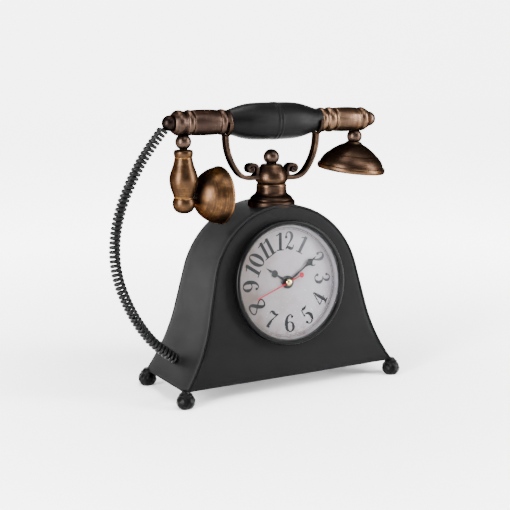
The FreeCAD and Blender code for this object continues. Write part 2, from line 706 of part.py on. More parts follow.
# ---- Cradle --------------------------------------------------------------------------------
def strip(start, heading, moves):
    """A flat bar bent in the XZ plane.

    A move is ("run", length) or ("bend", radius, degrees), with positive bends to the left.
    """
    half = STRIP_THICKNESS / 2
    place = Vector(start[0], 0, start[1])
    angle = math.radians(heading)
    left_edges = []
    right_edges = []

    def offset(point, direction, side):
        return point + Vector(-math.sin(direction), 0, math.cos(direction)) * (side * half)

    first = (offset(place, angle, 1), offset(place, angle, -1))
    for move in moves:
        if move[0] == "run":
            end = place + Vector(math.cos(angle), 0, math.sin(angle)) * move[1]
            for side, edges in ((1, left_edges), (-1, right_edges)):
                edges.append(Part.makeLine(offset(place, angle, side), offset(end, angle, side)))
            place = end
            continue
        radius, turn = move[1], math.radians(move[2])
        centre = place + Vector(-math.sin(angle), 0, math.cos(angle)) * radius

        def on_arc(fraction):
            bearing = angle + turn * fraction
            return centre - Vector(-math.sin(bearing), 0, math.cos(bearing)) * radius, bearing

        for side, edges in ((1, left_edges), (-1, right_edges)):
            points = [offset(*on_arc(fraction), side) for fraction in (0, 0.5, 1)]
            edges.append(Part.Arc(*points).toShape())
        place, angle = on_arc(1)
    last = (offset(place, angle, 1), offset(place, angle, -1))
    tip = place + Vector(math.cos(angle), 0, math.sin(angle)) * half
    caps = [Part.makeLine(*first), Part.Arc(last[0], tip, last[1]).toShape()]
    wire = Part.Wire(Part.__sortEdges__(left_edges + right_edges + caps))
    face = Part.Face(wire)
    return face.extrude(Vector(0, STRIP_WIDTH, 0)).translated(Vector(0, -STRIP_WIDTH / 2, 0))


def handset_height(station):
    """Height of the handset's axis at a station along it."""
    return AXIS_Z - station * math.tan(math.radians(HANDSET_TILT_ANGLE))


def cradle_side(side):
    """Arm, scroll and yoke of one side, -1 left and 1 right, drawn on the left."""
    yoke_x = -YOKE_SPACING / 2
    axis_z = handset_height(side * YOKE_SPACING / 2)
    inner = NECK_RADIUS + REST_GAP
    outer = inner + YOKE_SHEET
    ring = tube(outer, inner, -YOKE_WIDTH / 2, YOKE_WIDTH / 2)
    ring = moved(ring, Vector(yoke_x, 0, axis_z), X_AXIS)
    above = Part.makeBox(FAR, FAR, FAR, Vector(-FAR / 2, -FAR / 2, axis_z + YOKE_TIP_RISE))
    yoke = ring.cut(above)

    upper = math.radians(ARM_UPPER_ANGLE)
    drop = ARM_UPPER_RADIUS * math.sin(upper) + ARM_LOWER_RADIUS * (1 - math.sin(upper))
    reach = ARM_UPPER_RADIUS * (1 - math.cos(upper)) + ARM_LOWER_RADIUS * math.cos(upper)
    low_x = yoke_x + reach
    low_z = axis_z - outer - ARM_NECK - drop
    dome = pedestal_solid_dome()
    arm = strip(
        (yoke_x, axis_z - inner),
        -90,
        [
            ("run", YOKE_SHEET + ARM_NECK),
            ("bend", ARM_UPPER_RADIUS, ARM_UPPER_ANGLE),
            ("bend", ARM_LOWER_RADIUS, 90 - ARM_UPPER_ANGLE),
            ("run", -low_x - DOME_RADIUS * 0.9),
        ],
    )
    barrel = moved(disc(outer, -STRIP_WIDTH, STRIP_WIDTH), Vector(yoke_x, 0, axis_z), X_AXIS)
    arm = arm.cut(barrel).cut(dome)

    root = (-DOME_RADIUS - SCROLL_STANDOFF, low_z + STRIP_THICKNESS / 4)
    scroll = strip(
        root,
        25,
        [
            ("bend", SCROLL_ROOT_RADIUS, 65),
            ("run", SCROLL_RISE),
            ("bend", SCROLL_ROOT_RADIUS, 25),
            ("bend", SCROLL_CROWN_RADIUS, 65),
            ("run", SCROLL_CROWN_RUN),
            ("bend", SCROLL_EYE_RADIUS, SCROLL_EYE_ANGLE),
        ],
    )
    scroll = scroll.cut(arm).cut(dome)
    scroll = max(scroll.Solids, key=lambda solid: solid.Volume)
    pieces = (arm, scroll, yoke)
    if side > 0:
        pieces = tuple(mirrored(piece) for piece in pieces)
    return pieces


def cradle_pieces():
    """Both sides of the cradle."""
    pieces = {}
    for hand, side in (("left", -1), ("right", 1)):
        arm, scroll, yoke = cradle_side(side)
        pieces[f"arm_{hand}"] = arm
        pieces[f"scroll_{hand}"] = scroll
        pieces[f"yoke_{hand}"] = yoke
    return pieces


# ---- Handset -------------------------------------------------------------------------------
def handset_direction():
    """Unit vector along the handset, towards its right end."""
    tilt = math.radians(HANDSET_TILT_ANGLE)
    return Vector(math.cos(tilt), 0, -math.sin(tilt))


def on_handset(shape):
    """Place a piece drawn with Z along the handset."""
    return moved(shape, Vector(0, 0, AXIS_Z), handset_direction())


def grip_profile():
    """Points of the grip's outline from its left end to its right end, (radius, station)."""
    end = YOKE_SPACING / 2 + YOKE_WIDTH / 2
    return [
        (NECK_RADIUS + 0.6, -end + 5.2),
        (GRIP_RADIUS - 4.0, -end + 9.6),
        (GRIP_RADIUS - 1.5, -end + 18.6),
        (GRIP_RADIUS - 0.2, -end + 30.0),
        (GRIP_RADIUS, GRIP_MIDDLE),
        (GRIP_RADIUS - 0.2, end - 29.0),
        (GRIP_RADIUS - 1.1, end - 20.4),
        (GRIP_RADIUS - 4.0, end - 9.6),
        (NECK_RADIUS + 0.6, end - 5.2),
    ]


def handset_bar_pieces():
    """Everything strung on the handset's rod, drawn with Z along it."""
    yoke_edge = YOKE_SPACING / 2 + YOKE_WIDTH / 2
    left_neck = -yoke_edge - REST_GAP
    right_neck = yoke_edge + REST_GAP
    grip_start = -YOKE_SPACING / 2 + YOKE_WIDTH / 2 + REST_GAP
    grip_end = right_neck + 0.6
    grip = turned(
        (0, grip_start),
        [
            (NECK_RADIUS, grip_start),
            ("curve", grip_profile() + [(NECK_RADIUS, YOKE_SPACING / 2 - YOKE_WIDTH / 2 - REST_GAP)]),
            (NECK_RADIUS, grip_end),
            (0, grip_end),
        ],
    )
    for offset in (-2.6, 0.6):
        ring = disc(GRIP_RADIUS + GRIP_RING, GRIP_MIDDLE + offset, GRIP_MIDDLE + offset + 2.0)
        grip = grip.fuse(ring)

    left_bead_start = left_neck - FERRULE_BEAD_LENGTH
    left_barrel_end = left_bead_start - 1.3
    left_barrel_start = left_barrel_end - LEFT_BARREL_LENGTH
    left_outer_start = left_barrel_start - OUTER_BEAD_LENGTH
    left_end = LEFT_KNOB + 2.4
    ferrule_left = turned(
        (0, left_bead_start),
        [
            (BARREL_RADIUS - 1.0, left_bead_start),
            ("arc", (BEAD_RADIUS, left_bead_start + 2.6), (NECK_RADIUS, left_neck)),
            (NECK_RADIUS, grip_start),
            (0, grip_start),
        ],
    )
    barrel_left = barrel_profile(left_barrel_start, left_barrel_end, left_bead_start)
    outer_bead = turned(
        (0, left_outer_start),
        [
            (BARREL_RADIUS - 1.4, left_outer_start),
            (
                "arc",
                (BARREL_RADIUS + 0.1, left_outer_start + 0.57 * OUTER_BEAD_LENGTH),
                (BARREL_RADIUS - 1.0, left_barrel_start),
            ),
            (0, left_barrel_start),
        ],
    )
    collar_left = turned(
        (0, left_end),
        [
            (KNOB_BALL_RADIUS + 1.0, left_end),
            (BARREL_RADIUS - 0.4, left_end + 3.2),
            ("arc", (BARREL_RADIUS - 0.1, left_end + 6.0), (BARREL_RADIUS - 0.6, left_end + 8.2)),
            (BARREL_RADIUS - 1.4, left_outer_start - 1.0),
            (BARREL_RADIUS - 1.4, left_outer_start),
            (0, left_outer_start),
        ],
    )

    ring_end = grip_end + RING_LENGTH
    right_bead_start = ring_end + 2.6
    right_bead_end = right_bead_start + RIGHT_BEAD_LENGTH
    right_barrel_start = right_bead_end + 1.6
    right_barrel_end = right_barrel_start + RIGHT_BARREL_LENGTH
    right_collar_start = right_barrel_end + RIGHT_COLLAR_NECK
    right_end = RIGHT_KNOB - 1.6
    ring_right = turned(
        (0, grip_end),
        [
            (BARREL_RADIUS - 0.4, grip_end),
            ("arc", (BARREL_RADIUS + 0.1, (grip_end + ring_end) / 2), (BARREL_RADIUS - 0.4, ring_end)),
            (BARREL_RADIUS - 1.0, ring_end),
            (BARREL_RADIUS - 1.0, right_bead_start),
            (0, right_bead_start),
        ],
    )
    bead_right = turned(
        (0, right_bead_start),
        [
            (BARREL_RADIUS - 1.0, right_bead_start),
            (
                "arc",
                (BEAD_RADIUS, (right_bead_start + right_bead_end) / 2),
                (BARREL_RADIUS - 0.9, right_bead_end),
            ),
            (BARREL_RADIUS - 0.9, right_barrel_start),
            (0, right_barrel_start),
        ],
    )
    barrel_right = barrel_profile(right_barrel_start, right_barrel_end, right_barrel_end)
    collar_right = turned(
        (0, right_barrel_end),
        [
            (BARREL_RADIUS - 0.9, right_barrel_end),
            (BARREL_RADIUS - 0.9, right_collar_start - 0.8),
            (
                "arc",
                (BARREL_RADIUS - 0.2, right_collar_start + 1.2),
                (BARREL_RADIUS - 0.5, right_collar_start + 3.8),
            ),
            (KNOB_BALL_RADIUS + 1.0, right_end),
            (0, right_end),
        ],
    )
    knob_left = Part.makeSphere(KNOB_BALL_RADIUS, Vector(0, 0, LEFT_KNOB))
    knob_left = knob_left.cut(disc(FAR / 4, left_end, 0))
    knob_right = Part.makeSphere(KNOB_BALL_RADIUS, Vector(0, 0, RIGHT_KNOB))
    knob_right = knob_right.cut(disc(FAR / 4, 0, right_end))
    bore = disc(ROD_RADIUS + SLIP, LEFT_KNOB, RIGHT_KNOB)
    drilled = {
        "handset_grip": grip,
        "ferrule_left": ferrule_left,
        "barrel_left": barrel_left,
        "outer_bead_left": outer_bead,
        "end_collar_left": collar_left,
        "end_knob_left": knob_left,
        "grip_ring_right": ring_right,
        "inner_bead_right": bead_right,
        "barrel_right": barrel_right,
        "end_collar_right": collar_right,
        "end_knob_right": knob_right,
    }
    pieces = {name: shape.cut(bore) for name, shape in drilled.items()}
    pieces["handset_rod"] = disc(ROD_RADIUS, LEFT_KNOB + SLIP, RIGHT_KNOB - SLIP)
    return {name: on_handset(shape) for name, shape in pieces.items()}


def barrel_profile(start, end, seat):
    """A slightly swollen tube, with a plain spigot from its end to the next piece's seat."""
    steps = [
        (BARREL_RADIUS - 0.4, start),
        (
            "arc",
            (BARREL_RADIUS + BARREL_SWELL, (start + end) / 2),
            (BARREL_RADIUS - 0.4, end),
        ),
    ]
    if seat > end:
        steps += [(BARREL_RADIUS - 1.2, end), (BARREL_RADIUS - 1.2, seat)]
    steps.append((0, seat))
    return turned((0, start), steps)


def bell_direction():
    """Unit vector from the bell's neck to the middle of its mouth."""
    lean_x = math.tan(math.radians(BELL_LEAN_X_ANGLE))
    lean_y = math.tan(math.radians(BELL_LEAN_Y_ANGLE))
    direction = Vector(-lean_x, lean_y, -1)
    return direction.normalize()


def cup_direction():
    """Unit vector along the cup's axis, out of its mouth."""
    turn = math.radians(CUP_TURN_ANGLE)
    droop = math.radians(CUP_DROOP_ANGLE)
    return Vector(math.cos(turn) * math.cos(droop), math.sin(turn) * math.cos(droop), -math.sin(droop))


def transmitter_pieces(bar):
    """Drop ball, turned baluster, and the cup on its stem."""
    drop_z = handset_height(LEFT_DROP) - LEFT_DROP_HANG
    ball = Part.makeSphere(DROP_BALL_RADIUS, Vector(LEFT_DROP, 0, drop_z))
    for name in ("end_collar_left", "outer_bead_left", "barrel_left"):
        ball = ball.cut(bar[name])
    below = disc(FAR / 8, BALUSTER_TOP_Z - FAR / 8, BALUSTER_TOP_Z)
    ball = ball.cut(below.translated(Vector(LEFT_DROP, 0, 0)))

    belly = BALUSTER_BELLY_RADIUS
    waist = BALUSTER_WAIST_RADIUS
    top = BALUSTER_TOP_Z
    length = BALUSTER_LENGTH
    bottom = top - length
    body = turned(
        (0, top),
        [
            (3.4, top),
            (3.8, top - 0.7),
            (waist - 1.2, top - 0.9),
            ("arc", (waist - 0.5, top - 2.4), (waist - 0.5, top - 4.8)),
            (waist - 0.9, top - 6.2),
            (waist - 1.2, top - 6.9),
            (
                "curve",
                [
                    (waist - 0.7, top - 0.174 * length),
                    (belly - 2.7, top - 0.282 * length),
                    (belly - 0.9, top - 0.375 * length),
                    (belly, top - 0.466 * length),
                    (belly - 0.3, top - 0.539 * length),
                    (belly - 1.2, top - 0.607 * length),
                    (waist + 1.0, top - 0.686 * length),
                    (waist, top - 0.740 * length),
                ],
            ),
            (waist - 0.3, top - 0.753 * length),
            (waist + 0.6, top - 0.775 * length),
            (
                "curve",
                [
                    (waist + 1.1, bottom + 0.172 * length),
                    (waist + 0.8, bottom + 0.113 * length),
                    (waist - 1.0, bottom + 0.049 * length),
                    (waist - 4.0, bottom + 0.011 * length),
                    (0, bottom),
                ],
            ),
        ],
    ).translated(Vector(LEFT_DROP, 0, 0))

    axis = cup_direction()
    root = Vector(LEFT_DROP, 0, bottom + CUP_AXIS_RISE)
    mouth_distance = (CUP_MOUTH_X - LEFT_DROP) / axis.x
    mouth = root + axis * mouth_distance
    inner = CUP_RADIUS - CUP_SHEET
    lip_width = CUP_LIP_WIDTH
    shell = turned(
        (0, -CUP_RADIUS),
        [
            ("arc", (CUP_RADIUS * math.sqrt(0.5), -CUP_RADIUS * math.sqrt(0.5)), (CUP_RADIUS, 0)),
            (inner, 0),
            ("arc", (inner * math.sqrt(0.5), -inner * math.sqrt(0.5)), (0, -inner)),
        ],
    )
    lip = tube(CUP_RADIUS + CUP_LIP, CUP_RADIUS - CUP_SHEET / 2, -lip_width, 0)
    cup = moved(shell.fuse(lip).removeSplitter(), mouth, axis)
    dome = Part.makeSphere(CUP_RADIUS, mouth)
    stem = Part.makeCylinder(CUP_STEM_RADIUS, mouth_distance, root, axis).cut(body).cut(dome)
    stem = max(stem.Solids, key=lambda solid: solid.Volume)
    return {"drop_ball_left": ball, "transmitter_body": body, "transmitter_cup": cup, "cup_stem": stem}


def receiver_pieces(bar):
    """Drop ball, spun bell and its turned rim."""
    drop_z = handset_height(RIGHT_DROP) - RIGHT_DROP_HANG
    neck = Vector(RIGHT_DROP, 0, BELL_NECK_Z)
    axis = bell_direction()
    ball = Part.makeSphere(DROP_BALL_RADIUS, Vector(RIGHT_DROP, 0, drop_z))
    for name in ("barrel_right", "end_collar_right"):
        ball = ball.cut(bar[name])
    ball = ball.cut(moved(disc(FAR / 8, 0, FAR / 8), neck, axis))

    height = BELL_HEIGHT
    mouth = BELL_MOUTH_RADIUS
    outer = [
        (BELL_NECK_RADIUS + 0.02 * mouth, 0.062 * height),
        (BELL_NECK_RADIUS + 0.115 * mouth, 0.154 * height),
        (0.453 * mouth, 0.238 * height),
        (0.601 * mouth, 0.354 * height),
        (0.720 * mouth, 0.469 * height),
    ]
    shoulder = [
        (0.845 * mouth, 0.592 * height),
        (0.922 * mouth, 0.681 * height),
        (0.973 * mouth, 0.785 * height),
        (mouth, height - RIM_WIDTH),
    ]
    sheet = BELL_SHEET
    bell = turned(
        (0, 0),
        [
            (BELL_NECK_RADIUS, 0),
            ("curve", outer),
            (0.726 * mouth, 0.485 * height),
            ("curve", shoulder),
            (mouth, height),
            (mouth - sheet, height),
            (mouth - sheet, height - RIM_WIDTH),
            ("curve", [(r - sheet, z + 0.25 * sheet) for r, z in reversed(shoulder[:-1])]),
            ("curve", [(r - 0.6 * sheet, z + sheet) for r, z in reversed(outer[1:])]),
            (0, 0.154 * height + sheet),
        ],
    )
    rim_round = RIM_WIDTH / 2
    rim = turned(
        (mouth, height - RIM_WIDTH),
        [
            (RIM_RADIUS - 0.3, height - RIM_WIDTH),
            ("arc", (RIM_RADIUS, height - rim_round), (RIM_RADIUS - 0.3, height)),
            (mouth, height),
        ],
    )
    return {
        "drop_ball_right": ball,
        "receiver_bell": moved(bell, neck, axis),
        "receiver_rim": moved(rim, neck, axis),
    }


def handset_pieces():
    """The bar with the transmitter and receiver that hang from it."""
    pieces = handset_bar_pieces()
    hanging = {}
    hanging.update(transmitter_pieces(pieces))
    hanging.update(receiver_pieces(pieces))
    pieces.update(hanging)
    return pieces


# ---- Cord ----------------------------------------------------------------------------------
def cord_path(points):
    """Straight runs joined by tangent arcs; prints each arc's radius."""
    edges = []
    here = points[0]
    for before, corner, after in zip(points, points[1:], points[2:]):
        back_run = before - corner
        next_run = after - corner
        shorter = min(back_run.Length, next_run.Length)
        turn = math.pi - back_run.getAngle(next_run)
        radius = CORD_BEND_SHARE * shorter / math.tan(turn / 2)
        back_run.normalize()
        next_run.normalize()
        reach = CORD_BEND_SHARE * shorter
        start = corner + back_run * reach
        end = corner + next_run * reach
        inward = back_run + next_run
        inward.normalize()
        middle = corner + inward * (radius / math.cos(turn / 2) - radius)
        edges.append(Part.LineSegment(here, start).toShape())
        edges.append(Part.Arc(start, middle, end).toShape())
        print(f"cord bend: turn {math.degrees(turn):.1f} degrees, radius {radius:.1f}")
        here = end
    edges.append(Part.LineSegment(here, points[-1]).toShape())
    return Part.Wire(edges)


def cord_pieces():
    """The spring's outer shape, from the handset's left knob to the band's left flank."""
    points = [upright(*point) for point in CORD_ROUTE]
    into_band = (points[-1] - points[-2]).normalize()
    points[-1] = points[-1] + into_band * CORD_DIAMETER / 2
    path = cord_path(points)
    direction = (points[1] - points[0]).normalize()
    section = Part.Wire(Part.makeCircle(CORD_DIAMETER / 2, points[0], direction))
    solid = path.makePipeShell([section], True, False)
    expected = math.pi * CORD_DIAMETER**2 / 4 * path.Length
    share = solid.Volume / expected
    print(f"cord: length {path.Length:.1f}, volume over section times length {share:.4f}")
    envelope = housing_prism(0).common(between_planes(0, 0))
    return {"curly_cord": solid.cut(envelope)}


def main():
    """Write every piece to its own STEP file."""
    os.makedirs("parts", exist_ok=True)
    pieces = {}
    pieces.update(housing_pieces())
    pieces.update(feet())
    pieces.update(clock_pieces())
    pieces.update(pedestal_pieces())
    pieces.update(cradle_pieces())
    pieces.update(handset_pieces())
    pieces.update(cord_pieces())
    for name, shape in pieces.items():
        solids = shape.Solids
        if not shape.isValid() or not solids:
            raise ValueError(f"{name} is not a valid solid")
        result = solids[0] if len(solids) == 1 else Part.makeCompound(solids)
        result.exportStep(f"parts/{name}.step")
        print(f"{name}: {len(solids)} solid, {sum(solid.Volume for solid in solids):.1f} mm3")


main()
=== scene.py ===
"""Dressed model of a decorative table clock in the shape of an antique cradle telephone.

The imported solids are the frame. Most visible pieces are new surfaces, worked out with numpy and
laid over the solid of the same name; the rest of the solids keep their meshes and get a finish.
Sizes in the classes are millimetres unless a name says otherwise, and meshes are in metres.
"""

import json
import logging
import math
from dataclasses import dataclass
from enum import Enum
from typing import Sequence

import bpy
import numpy as np
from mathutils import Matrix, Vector
from numpy.typing import NDArray


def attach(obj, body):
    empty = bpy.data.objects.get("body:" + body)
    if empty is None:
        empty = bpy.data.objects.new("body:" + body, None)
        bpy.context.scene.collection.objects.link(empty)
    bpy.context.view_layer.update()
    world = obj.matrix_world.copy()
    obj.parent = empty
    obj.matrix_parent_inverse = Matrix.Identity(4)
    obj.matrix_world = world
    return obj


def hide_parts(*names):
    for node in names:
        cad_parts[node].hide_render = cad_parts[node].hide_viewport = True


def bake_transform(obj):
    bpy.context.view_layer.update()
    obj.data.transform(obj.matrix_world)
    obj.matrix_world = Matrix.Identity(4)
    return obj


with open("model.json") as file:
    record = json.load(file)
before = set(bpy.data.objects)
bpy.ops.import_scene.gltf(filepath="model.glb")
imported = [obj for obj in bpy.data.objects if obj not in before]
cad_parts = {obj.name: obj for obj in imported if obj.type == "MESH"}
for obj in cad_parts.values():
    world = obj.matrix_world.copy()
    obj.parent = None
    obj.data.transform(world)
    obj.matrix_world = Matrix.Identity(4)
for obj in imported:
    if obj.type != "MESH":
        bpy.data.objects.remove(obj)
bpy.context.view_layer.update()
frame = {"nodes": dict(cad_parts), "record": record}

LOG = logging.getLogger("telephone_clock")
MM = 0.001
FULL_TURN = 2 * math.pi
Array = NDArray[np.float64]
Whole = NDArray[np.int64]
Colour = tuple[float, float, float]
Place = tuple[float, float, float]
Point = tuple[float, float]
Socket = bpy.types.NodeSocket


class Body(Enum):
    """The bodies that pieces ride on."""

    HOUSING = "housing"
    HANDSET = "handset"
    HOUR = "hour"
    MINUTE = "minute"
    SECOND = "second"


# ---------------------------------------------------------------------------------- surfaces
def running(line: Array) -> Array:
    """The length run at each point of a line."""
    return np.concatenate([[0.0], np.cumsum(np.linalg.norm(np.diff(line, axis=0), axis=1))])


def unit(rows: Array) -> Array:
    """Each row at length 1."""
    return rows / np.maximum(np.linalg.norm(rows, axis=1, keepdims=True), 1e-9)


def rows_at(at: Array, run: Array, rows: Array) -> Array:
    """Rows interpolated, column by column, at places on their run."""
    return np.stack([np.interp(at, run, column) for column in rows.T], -1)


def spokes(angle: Array) -> Array:
    """Unit vectors at angles, (cosine, sine)."""
    return np.stack([np.cos(angle), np.sin(angle)], -1)


def linked(name: str, data: bpy.types.ID) -> bpy.types.Object:
    """A new object in the scene."""
    thing = bpy.data.objects.new(name, data)
    bpy.context.scene.collection.objects.link(thing)
    return thing


@dataclass
class Surface:
    """Points and faces of one mesh, with what its material reads from it.

    Attributes:
        points: One row for each vertex, in metres.
        faces: Arrays of faces, one for each count of corners.
        uv: One array of corner coordinates for each array of faces.
        wear: Per-vertex number, below 0 in hollows and above 0 on ridges.
    """

    points: Array
    faces: list[Whole]
    uv: list[Array]
    wear: Array

    def joined(self, other: "Surface") -> "Surface":
        """Both surfaces as one mesh."""
        faces = self.faces + [block + len(self.points) for block in other.faces]
        points = np.concatenate([self.points, other.points])
        return Surface(points, faces, self.uv + other.uv, np.concatenate([self.wear, other.wear]))

    def turned_out(self) -> "Surface":
        """The same closed surface with its faces pointing outwards.

        The signed volume is a sixth of the sum, over triangles that share each face's first
        corner, of the triple product of their corners. A negative one means inside out.
        """
        volume = 0.0
        for block in self.faces:
            first = self.points[block[:, 0]]
            for corner in range(1, block.shape[1] - 1):
                second, third = self.points[block[:, corner]], self.points[block[:, corner + 1]]
                volume += float((first * np.cross(second, third)).sum())
        if volume < 0:
            self.faces = [block[:, ::-1] for block in self.faces]
            self.uv = [block[:, ::-1] for block in self.uv]
        return self

    def capped(self, count: int) -> "Surface":
        """The same grid with one polygon on its first ring and one on its last.

        Args:
            count: Vertices round each ring.

        Returns:
            The closed surface.
        """
        ring = np.arange(count)
        ends = [ring[None, ::-1], (len(self.points) - count + ring)[None]]
        self.faces += ends
        self.uv += [self.points[end][..., :2] for end in ends]
        return self.turned_out()


def grid_surface(
    points: Array, wear: Array | float, along: Array, around: Array, wrap_rows: bool, wrap_columns: bool
) -> Surface:
    """Join a grid of points into quads.

    Args:
        points: Grid of points, rows by columns by 3.
        wear: Wear numbers, spread over the grid where there are fewer.
        along: Texture coordinate of each row, with one more value when rows wrap.
        around: Texture coordinate of each column, with one more value when columns wrap.
        wrap_rows: Whether the last row joins the first.
        wrap_columns: Whether the last column joins the first.

    Returns:
        A surface whose quad (i, j) has the corners (i, j), (i, j+1), (i+1, j+1), (i+1, j).
    """
    rows, columns = points.shape[:2]
    i = np.arange(rows if wrap_rows else rows - 1)[:, None]
    j = np.arange(columns if wrap_columns else columns - 1)[None, :]
    below, right = (i + 1) % rows, (j + 1) % columns
    quads = np.stack([i * columns + j, i * columns + right, below * columns + right, below * columns + j], -1)
    u = np.stack([j + 0 * i, j + 1 + 0 * i, j + 1 + 0 * i, j + 0 * i], -1)
    v = np.stack([i + 0 * j, i + 0 * j, i + 1 + 0 * j, i + 1 + 0 * j], -1)
    corners = np.stack([around[u], along[v]], -1).reshape(-1, 4, 2)
    wears = np.broadcast_to(wear, (rows, columns)).reshape(-1)
    return Surface(points.reshape(-1, 3), [quads.reshape(-1, 4)], [corners], wears)


def fan(surface: Surface, ring: Whole, tip: Array, wear: float) -> Surface:
    """Close a ring of vertices with a fan of triangles to one tip.

    Args:
        surface: The surface that owns the ring.
        ring: Vertex numbers round the ring.
        tip: The fan's middle point.
        wear: The tip's wear number.

    Returns:
        The surface with the tip and its triangles added.
    """
    triangles = np.stack([ring, np.full(len(ring), len(surface.points)), np.roll(ring, -1)], -1)
    share = np.linspace(0, 1, len(ring) + 1)
    low, high = (np.stack([part, 0 * part], -1) for part in (share[:-1], share[1:]))
    points, wears = np.concatenate([surface.points, tip[None]]), np.append(surface.wear, wear)
    return Surface(points, surface.faces + [triangles], surface.uv + [np.stack([low, low, high], 1)], wears)


def spread_along(line: Array, step: float) -> Array:
    """Resample a polyline evenly, by interpolating each coordinate over its running length."""
    run = running(line)
    return rows_at(np.linspace(0.0, run[-1], max(4, int(run[-1] / step) + 1)), run, line)


def blurred(line: Array, width: float, closed: bool) -> Array:
    """Blur an evenly sampled line with a bell curve, its spread given in samples.

    An open line is first carried past each end by its own half-turn about that end, so that
    its ends stay where they are.
    """
    reach = max(1, int(width * 3.5))
    kernel = np.exp(-0.5 * (np.arange(-reach, reach + 1) / width) ** 2)
    kernel /= kernel.sum()
    index = np.arange(-reach, len(line) + reach)
    if closed:
        padded = line[index % len(line)]
    else:
        last = len(line) - 1
        inside = np.clip(index, 0, last)
        low = 2 * line[0] - line[np.clip(-index, 0, last)]
        high = 2 * line[-1] - line[np.clip(2 * last - index, 0, last)]
        padded = np.where((index < 0)[:, None], low, np.where((index > last)[:, None], high, line[inside]))
    return np.stack([np.convolve(column, kernel, "valid") for column in padded.T], -1)


class Outline:
    """An outline drawn step by step in millimetres: (radius, station) or (across, up).

    FINE is the pitch that it is sampled at to be softened, BROAD the spread of the blur that
    wear is measured from, and HIGH the distance outside that blur that counts as full wear.
    """

    FINE = 0.1
    BROAD = 1.6
    HIGH = 0.35

    def __init__(self, across: float, up: float) -> None:
        """Start at a point."""
        self.points: list[Array] = [np.array([[across, up]], float)]

    @property
    def end(self) -> Array:
        """The last point drawn."""
        return self.points[-1][-1]

    def line(self, *points: Point) -> "Outline":
        """Straight lines through points."""
        self.points.append(np.array(points, float))
        return self

    def arc(self, middle: Point, end: Point) -> "Outline":
        """A circular arc through a middle point.

        The centre is where the upright bisectors of the two chords cross, and the arc turns
        about it by the angle that passes the middle point.
        """
        a, b, c = self.end, np.array(middle, float), np.array(end, float)
        rows = np.stack([b - a, c - a])
        centre = np.linalg.solve(2 * rows, (rows * (np.stack([b, c]) + a)).sum(1))
        arms = np.stack([a, b, c]) - centre
        angles = np.unwrap(np.arctan2(arms[:, 1], arms[:, 0]))
        count = max(4, int(abs(angles[2] - angles[0]) / math.radians(4)))
        sweep = np.linspace(angles[0], angles[2], count + 1)[1:]
        self.points.append(centre + float(np.linalg.norm(arms[0])) * spokes(sweep))
        return self

    def curve(self, *points: Point) -> "Outline":
        """A natural cubic spline through points, with chord lengths as its parameter.

        Its second derivatives solve the usual three-term equations, with zeros at both ends.
        """
        knots = np.concatenate([self.end[None], np.array(points, float)])
        step, at, count = np.linalg.norm(np.diff(knots, axis=0), axis=1), running(knots), len(knots)
        matrix, right = np.eye(count), np.zeros_like(knots)
        inner = np.arange(1, count - 1)
        matrix[inner, inner - 1] = step[:-1]
        matrix[inner, inner] = 2 * (step[:-1] + step[1:])
        matrix[inner, inner + 1] = step[1:]
        right[inner] = 6 * np.diff(np.diff(knots, axis=0) / step[:, None], axis=0)
        bend = np.linalg.solve(matrix, right)
        t = np.linspace(0.0, at[-1], 12 * (count - 1) + 1)[1:]
        k = np.clip(np.searchsorted(at, t, side="right") - 1, 0, count - 2)
        before, after, span = (value[:, None] for value in (t - at[k], at[k + 1] - t, step[k]))
        self.points.append(
            bend[k] * (after**3 / (6 * span))
            + bend[k + 1] * (before**3 / (6 * span))
            + (knots[k] / span - bend[k] * span / 6) * after
            + (knots[k + 1] / span - bend[k + 1] * span / 6) * before
        )
        return self

    def softened(self, radius: float, closed: bool = False, step: float = 1.6) -> tuple[Array, Array]:
        """The outline with its corners eased, and how far each point stands out.

        The line is blurred to ease its corners. It is then sampled closely where it bends and
        widely where it is straight. A point's wear is its distance outside a much broader blur
        of the same line, so ridges are above 0 and hollows below.

        Args:
            radius: Roughly the radius left on a sharp corner.
            closed: Whether the outline ends where it starts.
            step: The widest spacing kept on a straight stretch.

        Returns:
            The points, and one wear number from -1 to 1 for each.
        """
        line = np.concatenate(self.points)
        if closed:
            fine = spread_along(np.concatenate([line, line[:1]]), self.FINE)[:-1]
        else:
            fine = spread_along(line, self.FINE)
        soft = blurred(fine, radius * 0.8 / self.FINE, closed)
        broad = blurred(fine, self.BROAD / self.FINE, closed)
        heading = unit(np.gradient(soft, axis=0))
        outward = np.stack([heading[:, 1], -heading[:, 0]], -1)
        wear = np.clip(((soft - broad) * outward).sum(1) / self.HIGH, -1, 1)
        turn = np.abs(np.diff(np.unwrap(np.arctan2(heading[:, 1], heading[:, 0]))))
        weight = np.concatenate([[0.0], np.cumsum(turn / math.radians(9) + self.FINE / step)])
        at = np.linspace(0.0, weight[-1], max(6, int(weight[-1]) + 1))
        return rows_at(at, weight, soft), np.interp(at, weight, wear)


@dataclass(frozen=True)
class Axis:
    """A turning axis: where its zero is, which way it points, and which way angle 0 faces."""

    origin: Place = (0.0, 0.0, 0.0)
    direction: Place = (0.0, 0.0, 1.0)
    zero: Place = (1.0, 0.0, 0.0)

    def place(self, radius: Array, height: Array, angle: Array) -> Array:
        """Points in metres: origin, plus height along the axis, plus radius turned by angle."""
        along = np.array(self.direction, float)
        along /= np.linalg.norm(along)
        first = np.array(self.zero, float)
        first -= along * (first @ along)
        first /= np.linalg.norm(first)
        around = np.cos(angle)[..., None] * first + np.sin(angle)[..., None] * np.cross(along, first)
        return (np.array(self.origin) + height[..., None] * along + radius[..., None] * around) * MM


